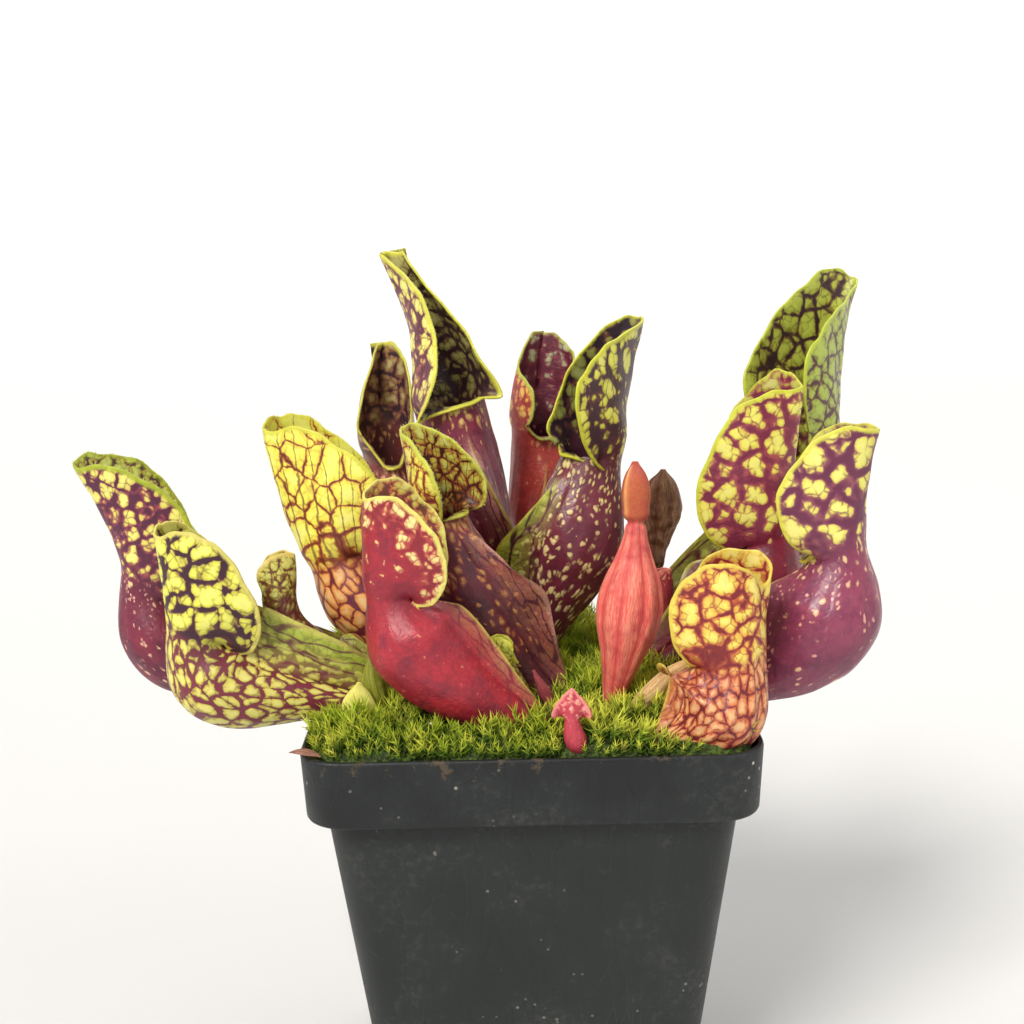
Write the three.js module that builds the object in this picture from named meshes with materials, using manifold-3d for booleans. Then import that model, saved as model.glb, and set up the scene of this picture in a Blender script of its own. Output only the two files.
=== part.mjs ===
// Potted purple pitcher plant: a clump of hollow pitcher leaves on a branched
// rhizome, in live moss and potting mix, in a square nursery pot.
// Millimetres, +Z up, origin at the centre of the pot's flat underside.
// The plant is seen from the front along +Y, with +X to the right.
// Azimuths are degrees anticlockwise from +X, seen from above.
import * as THREE from 'three';
import { mergeVertices } from 'three/addons/utils/BufferGeometryUtils.js';
import Module from 'manifold-3d';

const wasm = await Module();
wasm.setup();

// ---------------------------------------------------------------- driving dimensions
const GAP = 0.3; // what touching pieces keep between them
const POT = {
  height: 130, // underside to rim
  rim: 130, // across the flats of the collar, outside, at the rim
  collar: 20, // height of the collar
  collarTaper: 0.9, // how much narrower the collar is at its foot, per side
  shoulder: 117.5, // across the body just under the collar
  foot: 90, // across the underside
  wall: 1.6,
  floor: 2,
  corner: 12, // corner radius at the rim
  footCorner: 9,
  drain: { diameter: 8, inset: 15, slot: 26, slotWidth: 6 },
};
const SOIL_TOP = 116.5;
const MOSS = { rimHeight: 131, crown: 134.5, heave: 1.3 };
const RHIZOME = { stem: 4, branch: 3, bud: 4.6, smallBud: 3, height: 121, sides: 6 };
const CROWN = 128.5; // height at which the leaves leave the rhizome
const LEAF = {
  wall: 1.3, // thickness of the hollow leaf
  root: 3, // radius where the leaf leaves the rhizome
  floor: 0.42, // how far up the leaf its hollow starts, 0 to 1
  lip: 1.8, // width of the rolled lip across the front of the mouth
  corner: 150, // angle from the keel to the mouth's corner, where the hood ends
  roll: 16, // the angle in which the hood's margin passes into the lip
  lipFan: 95, // how far the lip leans forward from the axis
  wingRoot: 0.3, // half angle, in radians, that the wing's root spans
  wingHalf: 0.9, // half thickness of the wing
  wingFade: 3, // a wing narrower than this melts into the round of the leaf
};
const SCRAP = {
  path: [[-67, -58.5, 131.2], [-63, -61, 133.1], [-58, -62.5, 131.3]],
  halfWidth: 2.1,
  halfThickness: 0.6,
};

// Each pitcher: base [x, y] on the rhizome, mouth [x, y, z] at the centre of its
// throat, start (degrees above level) and lean (degrees off plumb, towards leanTo)
// for the two ends of its axis, facing (azimuth that the mouth looks to), belly and
// throat (radii), bellyAt (0 to 1 along the axis), wing (its width).
// left and right are the margins of the hood's two lobes, on the leaf's own sides:
// stations from the keel at the back to the mouth's corner, each measured from the
// middle of the throat as [forward, up, outward to that side].
const PITCHERS = {
  front_red_pitcher: {
    color: 0x9c2b35, base: [12, -43], mouth: [-39, -45, 174], start: 14, lean: 8, leanTo: 180,
    facing: -2, belly: 13, bellyAt: 0.7, throat: 6.4, swell: 0.9, wing: 5, oblique: 0.08,
    pull: [0.42, 0.24],
    left: [
      [-2.7, 26.4, 0], [1.1, 29.7, 7], [8.1, 27.5, 9], [13.4, 20.1, 10], [17.1, 12, 9],
      [15.5, 1, 7], [7, -4, 5],
    ],
    right: [
      [-2.7, 26.4, 0], [4.9, 27, 7], [12.3, 21.6, 9], [16.9, 13, 10], [17.8, 3.8, 9],
      [12.2, -4.8, 7], [5.1, -4.7, 5],
    ],
  },
  front_left_pitcher: {
    color: 0xa8a83a, base: [-34, -27], mouth: [-97, -32, 162], start: 26, lean: -4, leanTo: 180,
    facing: 8, belly: 12, bellyAt: 0.72, throat: 7.6, wing: 15, wingFull: 0.45, oblique: 0.1,
    pull: [0.5, 0.45],
    left: [
      [-11.1, 24.8, 0], [-10.4, 27.5, 4], [-6.3, 27.5, 7], [2, 23, 9], [11, 11, 9.5], [13, -2, 7],
      [9, -7, 5],
    ],
    right: [
      [-11.1, 24.8, 0], [-4.4, 27.3, 6], [3.8, 26.3, 9], [12, 18.5, 10], [18.6, 5.5, 10],
      [17.6, -6.7, 7], [10.9, -8.6, 5],
    ],
  },
  far_left_pitcher: {
    color: 0x7a2a3e, base: [-36, -6], mouth: [-116, -6, 172], start: 22, lean: -6, leanTo: 180,
    facing: 6, belly: 12, bellyAt: 0.76, throat: 7.2, wing: 13, wingFull: 0.5, oblique: 0.1,
    pull: [0.5, 0.5], stiff: 0.2,
    left: [
      [-22.6, 29.6, 0], [-18.9, 32.7, 6], [-11.2, 32.1, 9], [-1.9, 29.3, 10], [5.6, 22.1, 10],
      [13, 9, 9], [14, -1, 7], [8, -4, 5],
    ],
    right: [
      [-22.6, 29.6, 0], [-12, 31.3, 6], [0.5, 28.3, 9], [10.9, 19.8, 10], [17.9, 9.1, 10],
      [16.5, -1.9, 7], [8.2, -4, 5],
    ],
  },
  yellow_hood_pitcher: {
    color: 0xc08a35, base: [-16, -6], mouth: [-59, -8, 177], start: 30, lean: 30, leanTo: 180,
    facing: -4, belly: 12.3, bellyAt: 0.72, throat: 8.2, wing: 8, oblique: 0.1, pull: [0.4, 0.3],
    left: [
      [1.9, 41.1, 0], [5.3, 42.5, 6], [10.5, 39.6, 9], [15.7, 32.1, 10], [20.2, 20.7, 9],
      [20.5, 7, 8], [15, -5, 7], [8, -7, 5],
    ],
    right: [
      [1.9, 41.1, 0], [13.2, 36.3, 6], [21.2, 26.4, 9], [25.3, 13.1, 10], [23.7, 0.1, 9],
      [15.9, -8.6, 7], [7.4, -7.5, 5],
    ],
  },
  striped_mouth_pitcher: {
    color: 0x8c4a3a, base: [16, -24], mouth: [-26, -20, 191], start: 25, lean: 14, leanTo: 180,
    facing: -40, belly: 12, throat: 7.6, wing: 11, oblique: 0.04, pull: [0.4, 0.3],
    left: [
      [-6, 24.9, 0], [-1.4, 25, 4], [4.6, 19.8, 7], [9.9, 12.6, 9], [12.1, 3.5, 10], [9.2, -2.5, 9],
      [4.1, -2.4, 7],
    ],
    right: [
      [-6, 24.9, 0], [0.8, 21.4, 4], [6.8, 17.6, 7], [10.5, 12.9, 9], [11.2, 7.5, 9], [9.3, 1.8, 8],
      [4.9, -2.6, 6],
    ],
  },
  tall_left_pitcher: {
    color: 0x6c2638, base: [-6, 18], mouth: [-23, 14, 217], start: 55, lean: 12, leanTo: 180,
    facing: -70, belly: 15, bellyAt: 0.66, throat: 11, wing: 8, oblique: 0,
    left: [
      [-9, 49.5, -8], [-6, 49.3, -1.9], [-3, 43.9, 0.4], [2, 33.9, 3.6], [7, 21.4, 8.8],
      [10, 13.6, 10.1], [12, 0, 14], [11, 0.4, 7.4],
    ],
    right: [
      [-9, 49.5, 8], [-2, 45, 5.5], [6, 36.1, 2.9], [12, 23.2, 3.1], [15, 11.8, 6.3],
      [15, 4.7, 11.1], [13, -0.7, 15], [11, -1.2, 12],
    ],
  },
  back_left_pitcher: {
    color: 0x8a4038, base: [-22, 30], mouth: [-46, 41, 206], start: 55, lean: 6, leanTo: 170,
    facing: -80, belly: 11, throat: 8, wing: 7,
    left: [[-8, 27.5, 4.7], [-4, 26, 8], [0, 22, 10], [4, 15, 10.5], [7, 7, 10], [8, 2, 9], [8, -1, 8]],
    right: [
      [-8, 27.5, -4.7], [-4, 25.6, -0.9], [0, 20.9, 1.8], [4, 13.8, 5.4], [7, 6.6, 7.9],
      [8, 2.5, 9.1], [8, -0.8, 8.2],
    ],
  },
  back_centre_pitcher: {
    color: 0x93323a, base: [2, 38], mouth: [6, 42, 207], start: 75, lean: 2, facing: -80, belly: 11.5,
    throat: 9.8, wing: 5, oblique: 0.05,
    left: [
      [-10, 28.9, 3.8], [-8, 26.8, 8], [-5, 23.4, 11.1], [-1, 19.4, 11.6], [3, 13.8, 11.5],
      [7, 9.3, 8.9], [9, 5.3, 7], [10, 2, 5],
    ],
    right: [
      [-10, 28.9, -3.8], [-8, 28.6, 1.2], [-6, 24.8, 5], [0, 17.7, 8.1], [7, 14.1, 6.4],
      [11, 9.9, 5.2], [12, 3.6, 5.6], [11, -0.1, 7.4],
    ],
  },
  centre_right_pitcher: {
    color: 0x70303c, base: [-2, 5], mouth: [21, 0, 204], start: 62, lean: 14, leanTo: 20, facing: -140,
    belly: 14, bellyAt: 0.68, throat: 9, wing: 12, oblique: 0.03,
    left: [
      [-9.6, 41.2, 0], [4.6, 35.9, 6], [14.4, 29.4, 9], [21.1, 22.7, 11], [22.5, 14.4, 12],
      [16.6, 4.2, 11], [7.1, -2.9, 10], [-1, -5, 8],
    ],
    right: [
      [-9.6, 41.2, 0], [-7.2, 42.3, 5], [-0.7, 35.8, 8], [6.5, 25.8, 10], [8, 17.6, 11],
      [9.5, 8.8, 11], [11.2, 2.8, 10], [6.6, -0.6, 8],
    ],
  },
  tall_right_pitcher: {
    color: 0x7d8a34, base: [22, 22], mouth: [93, 29, 201], start: 32, lean: 2, leanTo: 0, facing: -135,
    belly: 13, throat: 8.5, wing: 9, oblique: 0.05,
    left: [
      [-21.7, 50.3, 0], [-11.9, 46.3, 4], [0.9, 40.8, 7], [11.8, 35, 9], [16.9, 28.8, 9],
      [18.2, 17, 9], [14.1, 7.1, 8], [8.1, 1, 7],
    ],
    right: [
      [-21.7, 50.3, 0], [-19.3, 53.6, 5], [-8.9, 52, 8], [1.1, 45, 10], [10.7, 35.7, 12],
      [19.5, 24.8, 12], [22, 14, 11], [15, 4, 8],
    ],
  },
  right_middle_pitcher: {
    color: 0x7a2634, base: [26, 2], mouth: [75, 0, 180], start: 20, lean: -4, leanTo: 0, facing: 168,
    belly: 14, bellyAt: 0.68, throat: 7.2, wing: 9, oblique: 0.1,
    left: [
      [-12.3, 40.8, 0], [-3.2, 41.8, 6], [7.8, 36.3, 9], [15.5, 25.9, 11], [20.6, 10.8, 11],
      [18.8, -0.7, 9], [11.2, -6.8, 6], [6.8, -2.8, 5],
    ],
    right: [
      [-12.3, 40.8, 0], [-8.4, 45.9, 6], [-2.2, 44.7, 9], [5.8, 38.7, 11], [13, 27, 11],
      [16, 12, 9], [13, 1, 7], [8, -4, 5],
    ],
  },
  right_purple_pitcher: {
    color: 0x6e2742, base: [36, -22], mouth: [91, -27, 183], start: 14, lean: -4, leanTo: 0,
    facing: 166, belly: 15, bellyAt: 0.7, throat: 6.8, wing: 6, oblique: 0.1, pull: [0.5, 0.45],
    left: [
      [-11.9, 29.2, 0], [-4.1, 31.8, 6], [6.8, 27.4, 9], [14, 19.2, 11], [17, 10.4, 11],
      [14.8, 0.4, 9], [9.3, -4.7, 6], [5, -1.8, 5],
    ],
    right: [
      [-11.9, 29.2, 0], [-7.1, 30.7, 6], [1.2, 29.5, 9], [9, 24, 10], [13, 14, 10], [12.5, 3, 9],
      [9, -3, 6], [5, -2, 5],
    ],
  },
  front_right_pitcher: {
    color: 0xc07848, base: [31, -54], mouth: [56, -50, 155], start: 16, lean: 0, facing: 172,
    belly: 13.2, bellyAt: 0.58, throat: 9.2, wing: 7, oblique: 0.1, pull: [0.5, 0.5],
    left: [
      [-8.5, 18.4, 0], [-4.2, 25.2, 6], [3.1, 26.6, 8], [11, 24.3, 9], [16.1, 16.2, 9],
      [16, 4.2, 7], [11, -2.6, 5], [7.8, -0.5, 4],
    ],
    right: [
      [-8.5, 18.4, 0], [-11.5, 23, 4], [-7, 27, 7], [2, 27, 9], [9, 22, 9], [13, 13, 9], [13, 3, 7],
      [9, -2, 4],
    ],
  },
};
const USUAL = {
  height: CROWN, root: LEAF.root, bellyAt: 0.62, deep: 1.05, wing: 8, wingFull: 0.9, wingSpan: [0.06, 0.93],
  oblique: 0.14, pull: [0.45, 0.4], lean: 8, swell: 1.15, stiff: 0.35, cheek: 2, lip: LEAF.lip,
  wall: LEAF.wall, columns: 12, tubeRows: 8, hoodRows: 4, innerRows: 4,
};

// Young pitchers are the same leaf, small and short, with a coarser mesh. The
// lobes of their hoods are one plain ear, given for a hood of height 1.
const YOUNG = {
  root: 1.6, lip: 0.8, wall: 0.9, columns: 8, tubeRows: 6, hoodRows: 2, innerRows: 3, cheek: 0.5, tall: 8,
};
const EAR = [
  [-0.35, 1, 0], [0.05, 1.02, 0.22], [0.42, 0.82, 0.36], [0.64, 0.5, 0.42], [0.66, 0.18, 0.4],
  [0.52, -0.06, 0.34],
];
const YOUNG_PITCHERS = {
  green_young_pitcher: {
    color: 0x93a03a, base: [-25, -17], mouth: [-73, -21, 169], start: 34, lean: 8, leanTo: 0,
    facing: 180, belly: 6, throat: 4.4, wing: 4, tall: 10,
  },
  green_sprout: {
    color: 0x8f9a30, base: [5, -33], mouth: [-8, -33.5, 150], start: 50, lean: 20, leanTo: 180,
    facing: 0, belly: 2.8, throat: 2.4, wing: 1, root: 1.2, tall: 6,
  },
  small_red_pitcher: {
    color: 0xc05058, base: [37, 15], mouth: [43, 8, 156], start: 70, lean: 0,
    facing: 180, belly: 4, throat: 3.2, wing: 1, root: 1.2,
  },
  front_red_sprout: {
    color: 0xb8404a, base: [14, -58], mouth: [11, -61, 141], start: 60, lean: 0,
    facing: -100, belly: 3.6, throat: 3.6, wing: 1, root: 1.5,
  },
};

// Unopened and dried leaves: base and top, bow (sideways bend of the axis),
// radii from base to tip, and flat (thickness over width).
const BUDS = {
  unopened_pitcher: {
    color: 0xcf6a62, base: [22, -34, CROWN], top: [31, -32, 206], bow: [3, 0, 0], flat: 0.85,
    radii: [1.6, 3, 4.6, 6.6, 8.8, 9.2, 7.6, 4.6, 4.6, 4, 0.8],
  },
  yellow_bud: {
    color: 0xd6cc58, base: [-50, -40, CROWN], top: [-49, -40, 145], bow: [0, 0, 0], flat: 0.45,
    radii: [1, 1.6, 4.4, 4, 0.5],
  },
  green_curled_bud: {
    color: 0x9aa63c, base: [-41, -36, CROWN], top: [-46, -36, 151], bow: [-1, 0, 0], flat: 0.6,
    radii: [1, 2, 3, 3.4, 2.6, 0.8],
  },
  red_bud: {
    color: 0x9a3f48, base: [9, -35, CROWN], top: [1, -35.5, 146], bow: [0, 0, 0], flat: 0.8,
    radii: [0.8, 1.2, 1.5, 1.9, 1.2, 0.4],
  },
  orange_bud: {
    color: 0xb04a30, base: [27, 8, CROWN], top: [25, 4, 147], bow: [2, 0, 0], flat: 0.7,
    radii: [0.9, 1.2, 1.4, 1.8, 3.4, 2.8, 0.6],
  },
  dried_sheath: {
    color: 0x93816a, base: [12, 28, CROWN], top: [9, 27.5, 150], bow: [-1, 0, 0], flat: 0.22,
    radii: [2, 4, 5, 5, 4, 2],
  },
  dried_hood: {
    color: 0x7a5a48, base: [34, 32, CROWN], top: [46, 36, 191], bow: [3, 0, 0], flat: 0.28,
    radii: [1.6, 2, 2.4, 2.8, 3, 3.4, 5.4, 7, 3],
  },
  dried_strip: {
    color: 0xb89a70, base: [25, -42, CROWN], top: [47, -39, 149], bow: [0, 0, 2], flat: 0.25,
    radii: [1.6, 2.6, 3, 2.6, 1.2],
  },
};

// ---------------------------------------------------------------- small tools
const radians = THREE.MathUtils.degToRad;

function direction(azimuth, elevation = 0) {
  const a = radians(azimuth);
  const e = radians(elevation);
  return new THREE.Vector3(Math.cos(a) * Math.cos(e), Math.sin(a) * Math.cos(e), Math.sin(e));
}

function clamp01(x) {
  return THREE.MathUtils.clamp(x, 0, 1);
}

// A smooth value through evenly spaced stations, read at x from 0 to 1.
function through(stations, x) {
  const points = stations.map((value, i) => new THREE.Vector2(i, value));
  return new THREE.SplineCurve(points).getPoint(clamp01(x)).y;
}

// Skin over a stack of rings of equal count, closed at both ends on their centres.
function skin(rings) {
  const around = rings[0].length;
  const centre = (ring) => ring.reduce((sum, p) => sum.add(p), new THREE.Vector3()).divideScalar(around);
  const points = [centre(rings[0]), ...rings.flat(), centre(rings.at(-1))];
  const at = (r, c) => 1 + r * around + (c % around);
  const last = points.length - 1;
  const faces = [];
  for (let c = 0; c < around; c += 1) {
    faces.push(0, at(0, c + 1), at(0, c));
    for (let r = 0; r < rings.length - 1; r += 1) {
      faces.push(at(r, c), at(r, c + 1), at(r + 1, c + 1));
      faces.push(at(r, c), at(r + 1, c + 1), at(r + 1, c));
    }
    faces.push(last, at(rings.length - 1, c), at(rings.length - 1, c + 1));
  }
  const geometry = new THREE.BufferGeometry().setFromPoints(points);
  geometry.setIndex(faces);
  return volume(geometry) < 0 ? turnedOut(geometry) : geometry;
}

function volume(geometry) {
  const p = geometry.attributes.position;
  const [a, b, c] = [new THREE.Vector3(), new THREE.Vector3(), new THREE.Vector3()];
  const index = geometry.index.array;
  let sum = 0;
  for (let i = 0; i < index.length; i += 3) {
    a.fromBufferAttribute(p, index[i]);
    b.fromBufferAttribute(p, index[i + 1]);
    c.fromBufferAttribute(p, index[i + 2]);
    sum += a.dot(b.cross(c)) / 6;
  }
  return sum;
}

function turnedOut(geometry) {
  const index = Array.from(geometry.index.array);
  for (let i = 0; i < index.length; i += 3) {
    [index[i + 1], index[i + 2]] = [index[i + 2], index[i + 1]];
  }
  geometry.setIndex(index);
  return geometry;
}

function solidOf(geometry) {
  const bare = geometry.clone();
  bare.deleteAttribute('normal');
  bare.deleteAttribute('uv');
  const merged = mergeVertices(bare, 1e-4);
  return new wasm.Manifold(new wasm.Mesh({
    numProp: 3,
    vertProperties: new Float32Array(merged.attributes.position.array),
    triVerts: new Uint32Array(merged.index.array),
  }));
}

function geometryOf(solid) {
  const mesh = solid.getMesh();
  const geometry = new THREE.BufferGeometry();
  geometry.setAttribute('position', new THREE.BufferAttribute(new Float32Array(mesh.vertProperties), 3));
  geometry.setIndex(Array.from(mesh.triVerts));
  return geometry;
}

function joined(solids) {
  return solids.reduce((whole, next) => whole.add(next));
}

// ---------------------------------------------------------------- pitcher leaf
// The axis is a Bezier curve from the rhizome to the throat, with a frame at each
// point: along it, to the leaf's front and to its left side.
function axisOf(leaf) {
  const base = new THREE.Vector3(...leaf.base, leaf.height);
  const mouth = new THREE.Vector3(...leaf.mouth);
  const length = base.distanceTo(mouth);
  const heading = THREE.MathUtils.radToDeg(Math.atan2(mouth.y - base.y, mouth.x - base.x));
  const start = direction(heading, leaf.start);
  const end = direction(leaf.leanTo ?? heading, 90 - leaf.lean);
  const curve = new THREE.CubicBezierCurve3(
    base,
    base.clone().addScaledVector(start, length * leaf.pull[0]),
    mouth.clone().addScaledVector(end, -length * leaf.pull[1]),
    mouth,
  );
  const sideStart = start.clone().cross(direction(heading, leaf.start + 90)).normalize();
  const sideEnd = end.clone().cross(direction(leaf.facing)).normalize();
  return { curve, start, sideStart, sideEnd };
}

function frameAt(axis, u) {
  const along = axis.curve.getTangent(u);
  const side = axis.sideStart.clone().lerp(axis.sideEnd, THREE.MathUtils.smoothstep(u, 0, 1));
  side.addScaledVector(along, -side.dot(along)).normalize();
  const front = side.clone().cross(along);
  return { centre: axis.curve.getPoint(u), along, side, front };
}

function radiusAt(leaf, u) {
  if (u < leaf.bellyAt) {
    const rise = Math.sin((Math.PI / 2) * (u / leaf.bellyAt) ** leaf.swell) ** 2;
    return leaf.root + (leaf.belly - leaf.root) * rise;
  }
  const fall = Math.cos((Math.PI / 2) * clamp01((u - leaf.bellyAt) / (1 - leaf.bellyAt))) ** 2;
  return leaf.throat + (leaf.belly - leaf.throat) * fall;
}

function wingAt(leaf, u) {
  const [from, to] = leaf.wingSpan;
  const x = clamp01((u - from) / (to - from));
  return leaf.wing * Math.sin(Math.PI * x ** 0.85) ** leaf.wingFull;
}

// A point of the wall at u along the axis and angle theta round it: 0 at the keel,
// pi at the front, where the wing stands out. inset moves it in from the outside.
function wallPoint(leaf, axis, u, theta, inset = 0, winged = true) {
  const { centre, side, front } = frameAt(axis, u);
  const radius = radiusAt(leaf, u) - inset;
  const depth = radius * leaf.deep;
  let across = radius * Math.sin(theta);
  let forward = -depth * Math.cos(theta);
  const rise = clamp01(1 - Math.abs(Math.abs(theta) - Math.PI) / LEAF.wingRoot);
  const wing = wingAt(leaf, u);
  if (winged && rise > 0 && wing > 0) {
    const share = clamp01(wing / LEAF.wingFade);
    const neck = radius * Math.sin(LEAF.wingRoot) * (1 - rise) ** 2 + LEAF.wingHalf * (1 - rise ** 6);
    const edge = depth * Math.cos(LEAF.wingRoot);
    const out = edge + (wing + depth - edge) * rise;
    across = across * (1 - share) + Math.sign(Math.sin(theta)) * neck * share;
    forward = forward * (1 - share) + out * share;
  }
  return centre.addScaledVector(side, across).addScaledVector(front, forward);
}

// The hood's margin at theta, from the middle of the throat: forward, up, outward.
// Both lobes run on from each other over the keel, so the margin is smooth there.
function marginAt(leaf, theta) {
  const [lobe, other] = theta > 0 ? [leaf.left, leaf.right] : [leaf.right, leaf.left];
  const [forward, up, outward] = other[1];
  const stations = [[forward, up, -outward], ...lobe];
  const x = clamp01(Math.abs(theta) / radians(LEAF.corner));
  const at = (1 + x * (lobe.length - 1)) / lobe.length;
  return [0, 1, 2].map((i) => through(stations.map((station) => station[i]), at));
}

// A point of the hood: v is 0 at the throat and 1 at the margin. Past the mouth's
// corner the margin passes into the narrow lip.
function hoodPoint(leaf, axis, theta, from, along, v) {
  const top = frameAt(axis, 1);
  const [forward, up, outward] = marginAt(leaf, theta);
  const edge = top.centre.clone().addScaledVector(top.front, forward).addScaledVector(top.along, up)
    .addScaledVector(top.side, outward * Math.sign(theta));
  const fan = radians(LEAF.lipFan);
  const lip = from.clone().addScaledVector(along, leaf.lip * Math.cos(fan))
    .addScaledVector(top.front, leaf.lip * Math.sin(fan));
  const corner = radians(LEAF.corner);
  edge.lerp(lip, THREE.MathUtils.smoothstep(Math.abs(theta), corner, corner + radians(LEAF.roll)));
  const round = clamp01(Math.abs(theta) / corner);
  const bend = from.clone().addScaledVector(along, from.distanceTo(edge) * leaf.stiff)
    .addScaledVector(top.side, Math.sign(theta) * leaf.cheek * Math.sin(Math.PI * round));
  return new THREE.QuadraticBezierCurve3(from, bend, edge).getPoint(v);
}

function leafAngles(columns) {
  const half = Math.PI - LEAF.wingRoot;
  const angles = [];
  for (let c = 0; c < columns; c += 1) {
    angles.push(-half + (2 * half * c) / (columns - 1));
  }
  angles.push(Math.PI - LEAF.wingRoot * 0.45, Math.PI, -Math.PI + LEAF.wingRoot * 0.45);
  return angles;
}

// Rings of the outside, from the foot to the throat and on to the hood's margin.
function outerRings(leaf, axis, angles) {
  const mouthAt = (theta) => 1 - (leaf.oblique * (1 - Math.cos(theta))) / 2;
  const rings = [];
  for (let r = 0; r <= leaf.tubeRows; r += 1) {
    rings.push(angles.map((theta) => wallPoint(leaf, axis, (r / leaf.tubeRows) * mouthAt(theta), theta)));
  }
  const throat = rings.at(-1);
  const alongs = angles.map((theta) => frameAt(axis, mouthAt(theta)).along);
  for (let r = 1; r <= leaf.hoodRows; r += 1) {
    const v = r / leaf.hoodRows;
    rings.push(angles.map((theta, c) => hoodPoint(leaf, axis, theta, throat[c], alongs[c], v)));
  }
  return { rings, mouthAt };
}

function outwardNormal(rings, r, c) {
  const around = rings[0].length;
  const up = rings[Math.min(r + 1, rings.length - 1)][c].clone().sub(rings[r - 1][c]);
  const round = rings[r][(c + 1) % around].clone().sub(rings[r][(c + around - 1) % around]);
  return up.cross(round).normalize();
}

function pitcher(spec) {
  const leaf = { ...USUAL, ...spec };
  const axis = axisOf(leaf);
  const angles = leafAngles(leaf.columns);
  const { rings, mouthAt } = outerRings(leaf, axis, angles);
  const inner = [];
  for (let r = rings.length - 1; r > leaf.tubeRows; r -= 1) {
    inner.push(rings[r].map((p, c) => p.clone().addScaledVector(outwardNormal(rings, r, c), -leaf.wall)));
  }
  for (let r = 0; r <= leaf.innerRows; r += 1) {
    const share = THREE.MathUtils.lerp(1, LEAF.floor, r / leaf.innerRows);
    const wall = (theta) => wallPoint(leaf, axis, share * mouthAt(theta), theta, leaf.wall, false);
    inner.push(angles.map(wall));
  }
  return skin([...rings, ...inner]);
}

// The room that a leaf's lower part takes up, a little larger all round.
function pitcherRoot(spec, upTo, margin) {
  const leaf = { ...USUAL, ...spec };
  const axis = axisOf(leaf);
  const around = 7;
  const rings = [];
  for (let r = 0; r <= 6; r += 1) {
    const u = (upTo * r) / 6;
    const ring = [];
    for (let c = 0; c < around; c += 1) {
      const theta = -Math.PI + (2 * Math.PI * (c + 0.5)) / around;
      const { centre, side, front } = frameAt(axis, u);
      const reach = (radiusAt(leaf, u) * leaf.deep + margin) / Math.cos(Math.PI / around);
      const forward = Math.cos(theta) < 0 ? wingAt(leaf, u) : 0;
      const out = reach + forward * Math.abs(Math.cos(theta)) ** 3;
      ring.push(centre.addScaledVector(side, reach * Math.sin(theta))
        .addScaledVector(front, -out * Math.cos(theta)));
    }
    rings.push(ring);
  }
  const back = axis.start.clone().multiplyScalar(-margin * 2);
  rings[0].forEach((p) => p.add(back));
  return skin(rings);
}

// ---------------------------------------------------------------- buds and dried leaves
function budAxis(spec) {
  const base = new THREE.Vector3(...spec.base);
  const top = new THREE.Vector3(...spec.top);
  const pull = new THREE.Vector3(...spec.bow).multiplyScalar(2);
  return new THREE.QuadraticBezierCurve3(base, base.clone().lerp(top, 0.5).add(pull), top);
}

// Its sections are ovals: wide across the axis, and flat times as thick.
function bud(spec, margin = 0, upTo = 1) {
  const curve = budAxis(spec);
  const around = 8;
  const rows = 2 * (spec.radii.length - 1);
  const rings = [];
  for (let r = 0; r <= Math.ceil(rows * upTo); r += 1) {
    const u = r / rows;
    const along = curve.getTangent(u);
    const across = new THREE.Vector3(0, 1, 0).cross(along).normalize();
    const thick = across.clone().cross(along);
    const radius = through(spec.radii, u);
    const ring = [];
    for (let c = 0; c < around; c += 1) {
      const theta = (2 * Math.PI * c) / around;
      ring.push(curve.getPoint(u)
        .addScaledVector(across, (radius + margin) * Math.cos(theta))
        .addScaledVector(thick, (radius * spec.flat + margin) * Math.sin(theta)));
    }
    rings.push(ring);
  }
  return skin(rings);
}

// ---------------------------------------------------------------- square pot
// A square with round corners, as a ring of points at height z.
function roundedSquare(half, corner, z, perCorner = 5) {
  const ring = [];
  for (let quarter = 0; quarter < 4; quarter += 1) {
    const turn = (quarter * Math.PI) / 2;
    for (let i = 0; i <= perCorner; i += 1) {
      const a = (Math.PI / 2) * (i / perCorner);
      const x = half - corner + corner * Math.cos(a);
      const y = half - corner + corner * Math.sin(a);
      ring.push(new THREE.Vector3(
        x * Math.cos(turn) - y * Math.sin(turn),
        x * Math.sin(turn) + y * Math.cos(turn),
        z,
      ));
    }
  }
  return ring;
}

const shoulderZ = POT.height - POT.collar;
const rimHalf = POT.rim / 2;
const collarFootHalf = rimHalf - POT.collarTaper;
const bodyHalf = (z) => THREE.MathUtils.lerp(POT.foot / 2, POT.shoulder / 2, z / shoulderZ);
const bodyCorner = (z) => THREE.MathUtils.lerp(POT.footCorner, POT.corner, z / shoulderZ);

function potShell() {
  const outer = [
    roundedSquare(POT.foot / 2 - 1, POT.footCorner - 1, 0),
    roundedSquare(bodyHalf(1), bodyCorner(1), 1),
    roundedSquare(bodyHalf(shoulderZ), bodyCorner(shoulderZ), shoulderZ),
    roundedSquare(collarFootHalf - 0.8, POT.corner, shoulderZ),
    roundedSquare(collarFootHalf, POT.corner, shoulderZ + 0.8),
    roundedSquare(rimHalf, POT.corner, POT.height - 0.6),
    roundedSquare(rimHalf - 0.5, POT.corner, POT.height),
  ];
  const inner = [
    roundedSquare(rimHalf - POT.wall + 0.4, POT.corner - POT.wall, POT.height),
    roundedSquare(rimHalf - POT.wall, POT.corner - POT.wall, POT.height - 0.6),
    roundedSquare(collarFootHalf - POT.wall, POT.corner - POT.wall, shoulderZ + POT.wall),
    roundedSquare(bodyHalf(shoulderZ) - POT.wall, bodyCorner(shoulderZ) - POT.wall, shoulderZ - 1),
    roundedSquare(bodyHalf(POT.floor) - POT.wall, bodyCorner(POT.floor) - POT.wall, POT.floor),
  ];
  return skin([...outer, ...inner]);
}

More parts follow.
